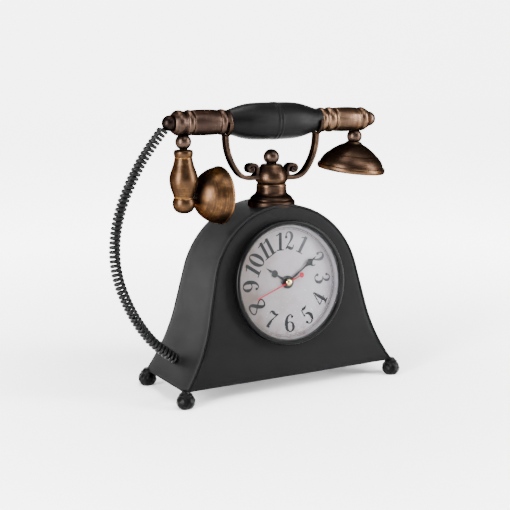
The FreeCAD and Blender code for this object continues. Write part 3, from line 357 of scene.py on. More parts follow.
def turned(outline: Outline, axis: Axis, segments: int, ease: float, closed: bool = False) -> Surface:
    """Carry an outline once round an axis.

    Each point of the outline, (radius, station), becomes a ring. An open outline whose ends
    lie on the axis is closed there with fans.

    Args:
        outline: The outline, (radius, station).
        axis: The turning axis.
        segments: How many steps make the round.
        ease: The radius left on its corners.
        closed: Whether the outline ends where it starts.

    Returns:
        The closed surface.
    """
    line, wear = outline.softened(ease, closed)
    run = running(line) * MM
    angle = np.linspace(0, FULL_TURN, segments, endpoint=False)
    share = np.linspace(0, 1, segments + 1)
    if closed:
        run = np.append(run, run[-1] + float(np.linalg.norm(line[0] - line[-1])) * MM)
    body = slice(None) if closed else slice(1, -1)
    points = axis.place(line[body, :1], line[body, 1:], angle)
    surface = grid_surface(points, wear[body, None], run[body], share, closed, True)
    if not closed:
        ends = axis.place(np.zeros(2), line[[0, -1], 1], np.zeros(2))
        ring = np.arange(segments)
        surface = fan(surface, ring[::-1], ends[0], float(wear[0]))
        surface = fan(surface, (len(line) - 3) * segments + ring, ends[1], float(wear[-1]))
    return surface.turned_out()


def ball(radius: float, low: float, high: float) -> Outline:
    """Outline of a ball about station 0, cut flat at two stations."""
    low, high = max(low, -radius), min(high, radius)
    start, end = (math.sqrt(max(radius**2 - cut**2, 0.0)) for cut in (low, high))
    outline = Outline(0, low)
    if start > 0:
        outline.line((start, low))
    outline.arc((math.sqrt(radius**2 - ((low + high) / 2) ** 2), (low + high) / 2), (end, high))
    return outline.line((0, high)) if end > 0 else outline


def swept(
    path: Array, side: Array, section: Array, section_wear: Array | float, taper: Array | float = 1.0
) -> Surface:
    """Carry a closed section along a path, and close both ends with fans.

    A section point (a, b) lies a along the side direction and b along the cross product of
    the side direction and the path's heading. The path is in millimetres.

    Args:
        path: Points along the path.
        side: One unit vector across the path for each of its points, or one for all.
        section: Closed section, (a, b).
        section_wear: One wear number for each section point, or one for all.
        taper: Share of the section's thickness, b, at each point of the path.

    Returns:
        The surface.
    """
    side = np.broadcast_to(side, path.shape)
    up = unit(np.cross(side, unit(np.gradient(path, axis=0))))
    thick = section[None, :, 1:] * (np.ones(len(path)) * taper)[:, None, None]
    points = path[:, None] + section[None, :, :1] * side[:, None] + thick * up[:, None]
    share, ring = np.linspace(0, 1, len(section) + 1), np.arange(len(section))
    surface = grid_surface(points * MM, section_wear, running(path) * MM, share, False, True)
    surface = fan(surface, ring[::-1], path[0] * MM, 0.0)
    return fan(surface, (len(path) - 1) * len(section) + ring, path[-1] * MM, 0.0).turned_out()


def rounded_bar(width: float, thickness: float, radius: float) -> tuple[Array, Array]:
    """Section of a flat bar with rounded edges, and its wear: high on the edges."""
    a, b = width / 2, thickness / 2
    line, wear = Outline(-a, -b).line((a, -b), (a, b), (-a, b)).softened(radius, closed=True, step=1.0)
    return line, np.abs(wear)


def flat_plate(outline: Array, low: float, high: float, edge: float) -> Surface:
    """A flat plate with eased edges, on an outline in its own plane.

    The rim rows are the outline drawn in by 0 or by the edge's width along its normals, and
    each face is one polygon.

    Args:
        outline: Closed outline, anticlockwise, in millimetres.
        low: Height of the back.
        high: Height of the front.
        edge: Width of the eased edge.

    Returns:
        The closed surface, with its third coordinate as height.
    """
    heading = unit(np.roll(outline, -1, 0) - np.roll(outline, 1, 0))
    inward = np.stack([-heading[:, 1], heading[:, 0]], -1)
    count, ease = len(outline), min(edge, (high - low) * 0.45)
    rows = [(edge, low), (0.0, low + ease), (0.0, high - ease), (edge, high)]
    points = np.stack([np.column_stack([outline + inward * inset, np.full(count, z)]) for inset, z in rows])
    share = np.linspace(0, 1, count + 1)
    return grid_surface(points * MM, 0.0, np.arange(4) * MM, share, False, True).capped(count)


# --------------------------------------------------------------------------------- materials
class Graph:
    """Short ways to add and join shader nodes in one material."""

    def __init__(self, name: str) -> None:
        """Start an empty material with its output."""
        self.material = bpy.data.materials.new(name)
        self.material.use_nodes = True
        self.tree = self.material.node_tree
        self.tree.nodes.clear()
        self.output = self.add("ShaderNodeOutputMaterial")

    def add(self, kind: str, settings: dict[str, object] | None = None, **inputs: object) -> bpy.types.Node:
        """Add a node, set its properties, and set or link its inputs by name.

        Args:
            kind: Blender's name for the node.
            settings: Its properties.
            **inputs: Its inputs, with underscores for spaces; a socket is linked.

        Returns:
            The node.
        """
        node = self.tree.nodes.new(kind)
        for name, value in (settings or {}).items():
            setattr(node, name, value)
        for name, value in inputs.items():
            self.feed(node.inputs[name.replace("_", " ")], value)
        return node

    def feed(self, socket: Socket, value: object) -> None:
        """Link a socket to an input, or set its value."""
        if isinstance(value, Socket):
            self.tree.links.new(value, socket)
        else:
            socket.default_value = value

    def number(self, operation: str, *values: object, clamp: bool = False) -> Socket:
        """A Math node's number."""
        node = self.add("ShaderNodeMath", {"operation": operation, "use_clamp": clamp})
        for socket, value in zip(node.inputs, values):
            self.feed(socket, value)
        return node.outputs[0]

    def sum(self, *terms: tuple[object, float], start: float = 0.0, clamp: bool = False) -> Socket:
        """A start number plus each term times its factor."""
        total: object = start
        for place, (term, factor) in enumerate(terms, 1):
            total = self.number("MULTIPLY_ADD", term, factor, total, clamp=clamp and place == len(terms))
        return total

    def noise(self, vector: Socket, scale: float, detail: float = 4.0, rough: float = 0.6) -> Socket:
        """A noise texture's number."""
        node = self.add("ShaderNodeTexNoise", Scale=scale, Detail=detail, Roughness=rough, Vector=vector)
        return node.outputs["Fac"]

    def place(self, output: str = "Object", scale: Sequence[float] = (1, 1, 1)) -> Socket:
        """Texture coordinates through a Mapping node."""
        source = self.add("ShaderNodeTexCoord").outputs[output]
        return self.add("ShaderNodeMapping", Scale=tuple(scale), Vector=source).outputs[0]

    def apart(self, vector: Socket) -> tuple[Socket, Socket]:
        """A vector's X and Z."""
        split = self.add("ShaderNodeSeparateXYZ", Vector=vector)
        return split.outputs["X"], split.outputs["Z"]

    def wear(self) -> Socket:
        """The mesh's wear number."""
        return self.add("ShaderNodeAttribute", {"attribute_name": "wear"}).outputs["Fac"]

    def ramp(self, factor: Socket, *stops: tuple[float, Colour]) -> Socket:
        """Colours at stops along a factor."""
        node = self.add("ShaderNodeValToRGB", Fac=factor)
        band = node.color_ramp
        for number, (position, colour) in enumerate(stops):
            stop = band.elements[number] if number < 2 else band.elements.new(position)
            stop.position = position
            stop.color = (*colour, 1.0)
        return node.outputs["Color"]

    def mixed(self, factor: Socket, first: Socket, second: Colour) -> Socket:
        """A colour turned towards another by a factor."""
        node = self.add("ShaderNodeMix", {"data_type": "RGBA"}, Factor=factor)
        self.feed(node.inputs[6], first)
        self.feed(node.inputs[7], (*second, 1.0))
        return node.outputs[2]

    def bump(self, height: Socket, distance: float, strength: float, **normal: Socket) -> Socket:
        """A bumped normal, its height in metres given by the distance."""
        return self.add("ShaderNodeBump", Strength=strength, Distance=distance, Height=height, **normal).outputs[0]

    def finish(self, shader: bpy.types.Node) -> bpy.types.Material:
        """Join the shader to the output."""
        self.tree.links.new(shader.outputs[0], self.output.inputs["Surface"])
        return self.material

    def principled(self, **inputs: object) -> bpy.types.Material:
        """Join a Principled shader with these inputs to the output."""
        return self.finish(self.add("ShaderNodeBsdfPrincipled", **inputs))


@dataclass(frozen=True)
class AntiqueCopper:
    """Copper-plated metal, darkened, worn back on its ridges, turning marks left in it."""

    name: str = "antique_copper"
    patina: Colour = (0.0045, 0.0030, 0.0024)
    brown: Colour = (0.035, 0.0185, 0.0098)
    bright: Colour = (0.380, 0.172, 0.048)
    shade: float = 0.0
    # Colour of the reflection at a slant, kept dark: a painted shade on the edges.
    slant: Colour = (0.045, 0.036, 0.033)
    roughness: float = 0.31

    def build(self) -> bpy.types.Material:
        """Mix the colours by wear, turning marks and slow mottling.

        The specular tint is the colour seen at a slant; it is kept dark as a painted shade, so that the edges do not
        mirror the bright floor.
        """
        g = Graph(self.name)
        marks = g.noise(g.place("UV", (1.2, 1700.0, 1.0)), 1.0, 3.0, 0.7)
        broad = g.noise(g.place("UV", (2.0, 300.0, 1.0)), 1.0, 3.0)
        mottle, grime = g.noise(g.place(), 95.0, 5.0), g.noise(g.place(), 420.0, 3.0)
        factor = g.sum(
            (g.wear(), 0.10), (marks, 0.22), (broad, 0.13), (mottle, 0.28), (grime, 0.12),
            start=self.shade + 0.02, clamp=True,
        )
        return g.principled(
            Base_Color=g.ramp(factor, (0.08, self.patina), (0.78, self.bright), (0.40, self.brown)), Metallic=1.0,
            Roughness=g.sum((factor, -0.10), (marks, 0.12), (grime, 0.08), start=self.roughness),
            Normal=g.bump(marks, 0.00005, 0.5), Specular_Tint=(*self.slant, 1.0),
        )


@dataclass(frozen=True)
class PowderCoat:
    """Matte charcoal paint on sheet steel, with a fine grain and a painted highlight along its edges."""

    name: str = "charcoal_powder_coat"
    dark: Colour = (0.0014, 0.0014, 0.0015)
    light: Colour = (0.0032, 0.0032, 0.0033)
    # Colour of the edges: a painted highlight.
    rubbed: Colour = (0.011, 0.011, 0.0115)
    roughness: float = 0.56

    def build(self) -> bpy.types.Material:
        """Mix the greys by broad smears and grain, and lighten the edges with a painted highlight."""
        g = Graph(self.name)
        smear = g.noise(g.place("Object", (9.0, 30.0, 60.0)), 1.0)
        cloud, grain = g.noise(g.place(), 28.0, 3.0, 0.5), g.noise(g.place(), 2600.0, 2.0)
        factor = g.sum((smear, 0.5), (cloud, 0.45), (grain, 0.12), start=-0.05, clamp=True)
        paint = g.ramp(factor, (0.25, self.dark), (0.8, self.light))
        # Where the wear number marks a rounded edge, the paint turns towards the painted highlight.
        edge = g.sum((g.wear(), 0.9), (cloud, 0.2), start=-0.25, clamp=True)
        return g.principled(
            Base_Color=g.mixed(edge, paint, self.rubbed), Metallic=0.0, Specular_IOR_Level=0.045,
            Roughness=g.sum((smear, -0.14), (grain, 0.08), start=self.roughness),
            Normal=g.bump(grain, 0.00003, 0.5, Normal=g.bump(cloud, 0.0004, 0.25)),
        )


@dataclass(frozen=True)
class Coating:
    """A plain paint, plastic or plating with fine grain and slight colour drift."""

    name: str
    base: Colour
    drift: Colour
    roughness: float
    metallic: float
    grain: float
    depth: float
    specular: float = 0.5
    coat: float = 0.0

    def build(self) -> bpy.types.Material:
        """Mix base and drift by noise, with the grain as bump."""
        g = Graph(self.name)
        cloud, grain = g.noise(g.place(), 70.0), g.noise(g.place(), self.grain, 3.0)
        factor = g.sum((cloud, 0.7), (grain, 0.35), start=-0.02)
        return g.principled(
            Base_Color=g.ramp(factor, (0.3, self.base), (0.75, self.drift)), Metallic=self.metallic,
            Roughness=g.sum((cloud, 0.10), (grain, 0.08), start=self.roughness - 0.09),
            Normal=g.bump(grain, self.depth, 0.6), Specular_IOR_Level=self.specular,
            Coat_Weight=self.coat, Coat_Roughness=0.15,
        )


@dataclass(frozen=True)
class TurnedBlack:
    """Black lacquer on a grip turned with fine rings."""

    name: str = "black_grip"
    base: Colour = (0.0004, 0.0004, 0.0004)
    worn: Colour = (0.0020, 0.0020, 0.0021)
    roughness: float = 0.40

    def build(self) -> bpy.types.Material:
        """Rings from noise that changes only along the axis."""
        g = Graph(self.name)
        rings = g.noise(g.place("UV", (0.6, 1100.0, 1.0)), 1.0, 4.0, 0.75)
        broad = g.noise(g.place("UV", (0.5, 210.0, 1.0)), 1.0, 2.0)
        factor = g.sum((rings, 0.75), (broad, 0.45), (g.wear(), 0.12), start=-0.22, clamp=True)
        return g.principled(
            Base_Color=g.ramp(factor, (0.3, self.base), (0.95, self.worn)), Metallic=0.0,
            Roughness=g.sum((rings, 0.18), (broad, 0.1), start=self.roughness - 0.1),
            Normal=g.bump(rings, 0.00018, 0.8), Specular_IOR_Level=0.055,
        )


@dataclass(frozen=True)
class DialCard:
    """Aged grey-white printed card, warmer to one side and stained at the bottom edge."""

    name: str = "dial_card"
    paper: Colour = (0.212, 0.187, 0.209)
    grey: Colour = (0.128, 0.111, 0.127)
    warm: Colour = (0.066, 0.044, 0.040)
    rust: Colour = (0.085, 0.026, 0.020)

    def build(self) -> bpy.types.Material:
        """Paper fibre, a warm side and rust specks near the rim."""
        g = Graph(self.name)
        centre = g.place()
        x, z = g.apart(centre)
        cloud, fibre = g.noise(centre, 45.0, 5.0), g.noise(centre, 1400.0, 3.0)
        side = g.sum((x, -16.0), (cloud, 1.5), start=-0.47, clamp=True)
        paper = g.ramp(g.sum((fibre, 0.5), (cloud, 0.5)), (0.3, self.grey), (0.7, self.paper))
        low = g.sum((z, -60.0), start=3.75, clamp=True)
        spots = g.sum((g.noise(centre, 160.0, 4.0, 0.7), 7.0), start=-3.5, clamp=True)
        stained = g.number("MULTIPLY", low, spots, clamp=True)
        colour = g.mixed(stained, g.mixed(side, paper, self.warm), self.rust)
        return g.principled(Base_Color=colour, Roughness=0.75, Normal=g.bump(fibre, 0.00002, 0.3))


@dataclass(frozen=True)
class PrintedInk:
    """Printing ink, near black on the left of the dial and paler towards the right and the top."""

    name: str = "printed_ink"
    dark: Colour = (0.0035, 0.0035, 0.005)
    pale: Colour = (0.078, 0.072, 0.081)

    def build(self) -> bpy.types.Material:
        """Mix both inks by the place across the dial, broken up by noise."""
        g = Graph(self.name)
        centre = g.place()
        x, z = g.apart(centre)
        worn = g.noise(centre, 500.0, 4.0, 0.7)
        # Paler towards the right and the top of the dial, in a straight slope, broken up by the noise.
        factor = g.sum((x, 17.5), (z, 11.0), (worn, 0.4), start=-1.50, clamp=True)
        colour = g.ramp(factor, (0.05, self.dark), (0.95, self.pale))
        return g.principled(Base_Color=colour, Roughness=0.7, Specular_IOR_Level=0.2)


@dataclass(frozen=True)
class ClearGlass:
    """Clear domed glass, let through so that the dial reads clearly."""

    name: str = "clear_glass"
    tint: Colour = (0.97, 0.985, 0.98)

    def build(self) -> bpy.types.Material:
        """Clear pass-through and gloss, with faint smudges.

        The gloss's share is one less the slant's cosine, raised to a power, alike on both faces.
        """
        g = Graph(self.name)
        smudge = g.sum((g.noise(g.place(), 60.0), 0.06), start=0.05)
        gloss = g.add("ShaderNodeBsdfGlossy", Color=(1.0, 1.0, 1.0, 1.0), Roughness=smudge)
        clear = g.add("ShaderNodeBsdfTransparent", Color=(*self.tint, 1.0))
        slant = g.add("ShaderNodeLayerWeight", Blend=0.5).outputs["Facing"]
        mix = g.add("ShaderNodeMixShader")
        for socket, value in zip(mix.inputs, (g.number("POWER", slant, 4.5), clear.outputs[0], gloss.outputs[0])):
            g.feed(socket, value)
        return g.finish(mix)


def even(value: float) -> Colour:
    """A colour with no hue."""
    return (value, value, value)


COATINGS = (
    Coating("black_foot_paint", even(0.0002), even(0.0010), 0.30, 0.0, 700.0, 0.0005, 0.06),
    Coating("black_bezel", even(0.0008), even(0.0016), 0.30, 0.0, 1500.0, 0.00001, 0.07),
    Coating("black_case_plastic", (0.016, 0.016, 0.017), (0.030, 0.030, 0.032), 0.5, 0.0, 1800.0, 0.00002),
    Coating("plated_steel", (0.48, 0.48, 0.47), (0.62, 0.61, 0.58), 0.34, 1.0, 1200.0, 0.00001),
    Coating("movement_brass", (0.42, 0.30, 0.11), (0.56, 0.42, 0.19), 0.24, 1.0, 900.0, 0.000008),
    Coating("dark_hand_paint", (0.006, 0.006, 0.007), (0.011, 0.011, 0.012), 0.45, 0.0, 1300.0, 0.00001, 0.2),
    Coating("red_hand_paint", (0.165, 0.0008, 0.009), (0.205, 0.0015, 0.013), 0.38, 0.0, 1300.0, 0.00001, 0.2),
    Coating("cell_jacket", (0.045, 0.06, 0.075), (0.07, 0.085, 0.10), 0.28, 0.2, 1000.0, 0.000008, coat=0.4),
    Coating("black_spring_wire", even(0.0006), even(0.0016), 0.34, 0.0, 1200.0, 0.00002, 0.09),
    Coating("blackened_brass", (0.020, 0.017, 0.012), (0.035, 0.028, 0.018), 0.45, 1.0, 900.0, 0.000008),
    Coating("faint_printed_ink", (0.016, 0.012, 0.012), (0.06, 0.05, 0.05), 0.7, 0.0, 260.0, 0.000004),
)
# Darker and paler copies of the copper, set piece by piece: partly each piece's own patina, partly painted light and
# shade.
# The pale copy is a painted light on the right of the handset bar, the black one a painted shade on the left knob and
# the cup's stem.
COPPERS = (
    ("brown", (0.004, 0.0027, 0.0023), (0.024, 0.0138, 0.0092), (0.150, 0.083, 0.041), -0.03),
    ("pale", (0.005, 0.0035, 0.0028), (0.038, 0.0225, 0.0150), (0.205, 0.122, 0.070), 0.0),
    ("dark", (0.0035, 0.0025, 0.0023), (0.020, 0.0125, 0.0100), (0.112, 0.071, 0.050), -0.02),
    ("arm", (0.0025, 0.0019, 0.0017), (0.012, 0.0076, 0.0058), (0.080, 0.047, 0.029), -0.03),
    ("black", (0.002, 0.0015, 0.0015), (0.007, 0.0048, 0.0043), (0.042, 0.025, 0.018), -0.04),
)


class Workshop:
    """Every finish by name, and the way surfaces turn into pieces on a body."""

    def __init__(self) -> None:
        """Build the finishes. Those that a slot of the record asks for have its name."""
        kinds = [PowderCoat(), AntiqueCopper(), TurnedBlack(), DialCard(), ClearGlass(), PrintedInk(), *COATINGS]
        kinds += [AntiqueCopper(f"antique_copper_{name}", *numbers) for name, *numbers in COPPERS]
        self.finishes = {kind.name: kind.build() for kind in kinds}
        self.slots = {row["node"]: row["material_slot"] for row in frame["record"]["subparts"]}

    def dress_solids(self) -> None:
        """Give every solid of the frame the finish of its slot, but the movement's nut and washer blackened brass."""
        for node, slot in self.slots.items():
            hidden = node in ("movement_nut", "movement_washer")
            materials = frame["nodes"][node].data.materials
            materials.clear()
            materials.append(self.finishes["blackened_brass" if hidden else slot])

    def piece(
        self, name: str, surface: Surface, body: Body, replaces: Sequence[str] = (), slot: str = "",
        finish: str = "", smooth_angle: float = 60.0, rides: bool = True,
    ) -> bpy.types.Object:
        """Make one piece.

        Args:
            name: The piece's name.
            surface: Its surface.
            body: The body that it rides on.
            replaces: Solids that it stands for.
            slot: The record's slot, or the first replaced solid's.
            finish: A finish other than the slot's.
            smooth_angle: Edges sharper than this many degrees stay sharp.
            rides: Whether it rides on the body; a piece that does not is left unattached.

        Returns:
            The object.
        """
        mesh = bpy.data.meshes.new(name)
        faces = [row for block in surface.faces for row in block.tolist()]
        mesh.from_pydata(surface.points.tolist(), [], faces)
        layer = mesh.uv_layers.new(name="UVMap")
        layer.data.foreach_set("uv", np.concatenate([block.reshape(-1) for block in surface.uv]))
        attribute = mesh.attributes.new("wear", "FLOAT", "POINT")
        attribute.data.foreach_set("value", surface.wear.astype(np.float32))
        mesh.shade_smooth()
        mesh.set_sharp_from_angle(angle=math.radians(smooth_angle))
        slot = slot or self.slots[replaces[0]]
        mesh.materials.append(self.finishes[finish or slot])
        mesh.update()
        thing = linked(name, mesh)
        if rides:
            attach(thing, body.value)
        if replaces:
            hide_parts(*replaces)
        LOG.info("%s: %d points on %s", name, len(surface.points), body.value)
        return thing


# ----------------------------------------------------------------------------------- housing
@dataclass(frozen=True)
class HousingShape:
    """The arch-and-flare outline and the leaning planes that cut it, in millimetres."""

    base_z: float = 13.4
    half_width: float = 105.2
    half_depth: float = 40.8
    arch_radius: float = 72.8
    arch_z: float = 89.3
    side_lean: float = 12.7
    flare_radius: float = 150.0
    front_lean: float = 7.5
    back_lean: float = 5.2
    band_sheet: float = 1.6
    plate_sheet: float = 1.2
    plate_recess: float = 0.6

    def outline(self, inset: float, bottom: float, count: int = 60) -> Array:
        """The outline from the left foot over the arch to the right foot.

        An arch arc, a straight flank tangent to it, and a hollow flare tangent to the flank
        through the base corner. The flare's centre is a flare radius outside the flank, as
        far down it as puts the base corner on the flare.

        Args:
            inset: How far inside the true outline.
            bottom: The height where it stops.
            count: Points on each flare, and a third of those on the arch.

        Returns:
            Points (x, z) in millimetres.
        """
        lean = math.radians(self.side_lean)
        out = np.array([math.cos(lean), math.sin(lean)])
        down = np.array([math.sin(lean), -math.cos(lean)])
        shoulder = np.array([0.0, self.arch_z]) + self.arch_radius * out
        offset = shoulder + self.flare_radius * out - np.array([self.half_width, self.base_z])
        along = float(offset @ down)
        flank = -along - math.sqrt(along**2 - float(offset @ offset) + self.flare_radius**2)
        centre = shoulder + flank * down + self.flare_radius * out
        flare = self.flare_radius + inset
        low = math.asin((centre[1] - bottom) / flare)
        sweep = np.linspace(low, lean, count)
        right = centre - flare * spokes(sweep)
        crown = np.linspace(lean, math.pi - lean, 3 * count)
        arch = np.array([0.0, self.arch_z]) + (self.arch_radius - inset) * spokes(crown)
        whole = np.concatenate([right, arch, right[::-1] * (-1, 1)])
        return spread_along(whole, 1.6)[::-1]

    def front(self, z: Array | float, inset: float = 0.0) -> Array | float:
        """The front plane's y at a height, moved in along its normal."""
        lean = math.radians(self.front_lean)
        return -self.half_depth + inset / math.cos(lean) + (z - self.base_z) * math.tan(lean)

    def back(self, z: Array | float, inset: float = 0.0) -> Array | float:
        """The back plane's y at a height, moved in along its normal."""
        lean = math.radians(self.back_lean)
        return self.half_depth - inset / math.cos(lean) - (z - self.base_z) * math.tan(lean)


FOOT_WAVES = ((0.45, 7, 4, 1), (0.35, 11, -7, 2), (0.25, 5, 12, -1), (0.2, 17, 15, 0))


@dataclass
class Housing:
    """Wrap-around band, recessed plates and four rough ball feet."""

    workshop: Workshop
    shape: HousingShape
    edge: float = 0.45
    seam: float = 0.8
    opening: float = 50.75
    rim: float = 0.35
    foot_radius: float = 8.0
    foot_centre: float = 6.4
    foot_flat: float = 3.9

    def band(self) -> Surface:
        """The band: a rounded strip section carried along the outline.

        For each outline point, the section runs from the front edge across the outside to the
        back edge and returns across the inside. A section point is a share of the way from the
        outer to the inner outline, and a distance in from the front or the back plane.
        """
        shape = self.shape
        outer = shape.outline(0.0, shape.base_z)
        inner = shape.outline(shape.band_sheet, shape.base_z)
        inner = rows_at(np.linspace(0, 1, len(outer)), np.linspace(0, 1, len(inner)), inner)
        bend = np.linspace(0, math.pi / 2, 5)
        rim = self.edge * (1 - np.stack([np.sin(bend), np.cos(bend)], -1))[::-1]
        half = [(a, b, 0.0) for a, b in rim]
        half += [(0.0, self.edge, share) for share in np.linspace(0, 1, 14)[1:-1]]
        half += [(a, b, 1.0) for a, b in rim[::-1]]
        sheet = shape.band_sheet
        spec = np.concatenate([half, np.array([sheet, 0.0, 1.0]) + np.array(half) * (-1, 1, -1)])
        way = spec[:, 0] / sheet
        flat = outer[:, None] * (1 - way)[None, :, None] + inner[:, None] * way[None, :, None]
        x, z = flat[..., 0], flat[..., 1]
        front, back = shape.front(z, spec[:, 1]), shape.back(z, spec[:, 1])
        points = np.stack([x, front + (back - front) * spec[:, 2], z], -1) * MM
        # The rounded rims get 1, which the paint shows as a painted highlight.
        wear = np.where((spec[:, 0] > 0.02) & (spec[:, 0] < sheet - 0.02), 1.0, -0.2)
        share = np.linspace(0, 1, len(spec) + 1)
        return grid_surface(points, wear, running(outer) * MM, share, False, True).capped(len(spec))

    def front_plate(self, dial: "ClockFrame") -> Surface:
        """The front plate, with a round opening and a shadow gap inside the band.

        In polar form about the dial's centre, each ray runs from the opening to the outline.
        Rows go from the back edge of the opening over its rim, out across the face in even
        shares of the ray, over the outer edge to a lip that closes the gap, and back.
        """
        shape = self.shape
        inset = shape.band_sheet + self.seam
        edge = shape.outline(inset, shape.base_z + self.seam)
        lean = math.cos(math.radians(shape.front_lean))
        arm = edge - np.array([0.0, dial.centre_z])
        arm[:, 1] /= lean
        loop = np.concatenate([arm, np.linspace(arm[-1], arm[0], 90)[1:-1]])
        angle = np.arctan2(loop[:, 1], loop[:, 0])
        order = np.argsort(angle)
        reach, angle = np.linalg.norm(loop, axis=1)[order], angle[order]
        hole, rim, sheet, lip = self.opening, self.rim, shape.plate_sheet, reach + self.seam * 0.94
        # The last number of each level is its wear; the paint lightens the rims by it, a painted highlight.
        levels = [
            (hole, -sheet, 0.0), (hole, -rim, 0.3), (hole + rim, 0.0, 0.0),
            *((hole + rim + (reach - rim - hole - rim) * t, 0.0, 0.0) for t in np.linspace(0, 1, 9)[1:-1]),
            (reach - rim, 0.0, 0.0), (reach - rim * 0.3, -rim * 0.3, 0.9), (reach, -rim, 0.4),
            (reach, -sheet * 0.8, 0.0), (lip, -sheet * 0.8 - 0.1, 0.0), (lip, -sheet, 0.0),
        ]
        radius = np.stack([row[0] + 0 * reach for row in levels])
        height, wear = (np.array([row[k] for row in levels])[:, None] for k in (1, 2))
        points = dial.place(radius * np.cos(angle), radius * np.sin(angle), height)
        along, share = np.arange(len(levels) + 1) * 0.01, np.linspace(0, 1, len(angle) + 1)
        return grid_surface(points, wear, along, share, True, True).turned_out()

    def foot(self, side_x: int, side_y: int) -> Surface:
        """A ball pressed flat on the table, rough from casting, with a neck up into the corner.

        The radius at each (angle, height) is the ball's, times one plus small waves whose
        phases differ from foot to foot.
        """
        radius, flat, centre_z = self.foot_radius, self.foot_flat, self.foot_centre
        neck, top = 3.2, centre_z + 2.6
        outline = Outline(0, -centre_z).line((flat + 1.2, -centre_z)).arc((radius, -0.6), (6.3, 4.2))
        outline.line((5.6, 4.6), (5.9, 5.9), (neck + 1.2, 6.6), (neck - 0.4, top), (0, top))
        centre = (side_x * (self.shape.half_width - 0.8), side_y * (self.shape.half_depth - 1.8), centre_z)
        surface = turned(outline, Axis(centre), 72, 0.45)
        middle = np.array(centre) * MM
        arm = surface.points - middle
        angle = np.arctan2(arm[:, 1], arm[:, 0])
        height = arm[:, 2] / (radius * MM)
        phase = 1.7 * side_x + 0.9 * side_y
        waves = sum(
            size * np.sin(turns * angle + climb * height + shift * phase) for size, turns, climb, shift in FOOT_WAVES
        )
        rough = -0.005 + 0.052 * waves * np.clip(1.2 - np.abs(height) * 0.6, 0, 1)
        arm[:, :2] *= 1 + rough[:, None]
        surface.points = middle + arm
        surface.wear = waves * 0.5
        return surface

    def build(self, dial: "ClockFrame") -> None:
        """Make the band, the front plate and the feet."""
        make = self.workshop.piece
        make("band_sheet", self.band(), Body.HOUSING, ["side_band"], smooth_angle=50)
        make("front_sheet", self.front_plate(dial), Body.HOUSING, ["front_plate"], smooth_angle=40)
        for row, side_y in (("front", -1), ("back", 1)):
            for hand, side_x in (("left", -1), ("right", 1)):
                name = f"foot_{row}_{hand}"
                make(f"rough_{name}", self.foot(side_x, side_y), Body.HOUSING, [name])


# ------------------------------------------------------------------------------------- clock
@dataclass(frozen=True)
class ClockFrame:
    """The dial's own directions: across, up the dial, and out along its normal."""

    shape: HousingShape
    centre_z: float = 95.2

    def place(self, across: Array, up: Array, out: Array) -> Array:
        """Points in metres: centre, plus across along X, plus up and out in the leaning plane."""
        lean = math.radians(self.shape.front_lean)
        y0 = self.shape.front(self.centre_z, self.shape.plate_recess)
        y = y0 + up * math.sin(lean) - out * math.cos(lean)
        z = self.centre_z + up * math.cos(lean) + out * math.sin(lean)
        return np.stack([across + 0 * y, y, z], -1) * MM

    def axis(self) -> Axis:
        """The dial's turning axis, with angle 0 to the right."""
        lean = math.radians(self.shape.front_lean)
        origin = (0.0, float(self.shape.front(self.centre_z, self.shape.plate_recess)), self.centre_z)
        return Axis(origin, (0.0, -math.cos(lean), math.sin(lean)))


@dataclass(frozen=True)
class Hand:
    """A flat clock hand on a round hub, in millimetres from the dial's axis.

    Attributes:
        body: The body that it rides on.
        bearing: Degrees clockwise from 12.
        stations: Places along it, from its tail to its tip.
        widths: Half width at each station.
        disc: Radius of a disc on it, and the place of its centre.
        samples: Points along each side.
        levels: Heights of its back, of its front and of the top of its hub.
        hub: Radius of its hub.
        edge: Width of its eased edge.
    """

    body: Body
    bearing: float
    stations: tuple[float, ...]
    widths: tuple[float, ...]
    disc: Point
    samples: int
    levels: Place
    hub: float
    edge: float = 0.1

    def outline(self) -> Array:
        """Both sides of the hand, (across, up)."""
        up = np.linspace(self.stations[0], self.stations[-1], self.samples)
        disc = np.sqrt(np.clip(self.disc[0] ** 2 - (up - self.disc[1]) ** 2, 0, None))
        half = np.maximum(disc, np.interp(up, self.stations, self.widths))
        return np.concatenate([np.stack([half, up], -1), np.stack([-half, up], -1)[::-1]])


HANDS = (
    Hand(
        Body.HOUR, 304.5, (0, 11, 17.5, 19.5, 22.0, 24.7), (1.5, 0.95, 0.75, 1.15, 0.6, 0.12),
        (3.3, 14.9), 120, (-0.6, -0.3, 0.3), 5.75,
    ),
    Hand(
        Body.MINUTE, 56.5, (0, 21.5, 22.6, 24.2, 26.0, 27.4, 28.6, 29.8, 31.2, 34.0, 36.4),
        (1.05, 0.70, 1.0, 1.4, 2.4, 3.5, 2.6, 1.6, 0.95, 0.5, 0.1), (0.0, 0.0), 150, (0.6, 0.9, 1.3), 3.6,
    ),
    Hand(
        Body.SECOND, 249.7, (-16.7, -15, 0, 33.0, 35.4), (0.0, 0.5, 0.64, 0.5, 0.12),
        (2.4, -14.3), 260, (1.6, 1.9, 2.2), 1.7, 0.08,
    ),
)


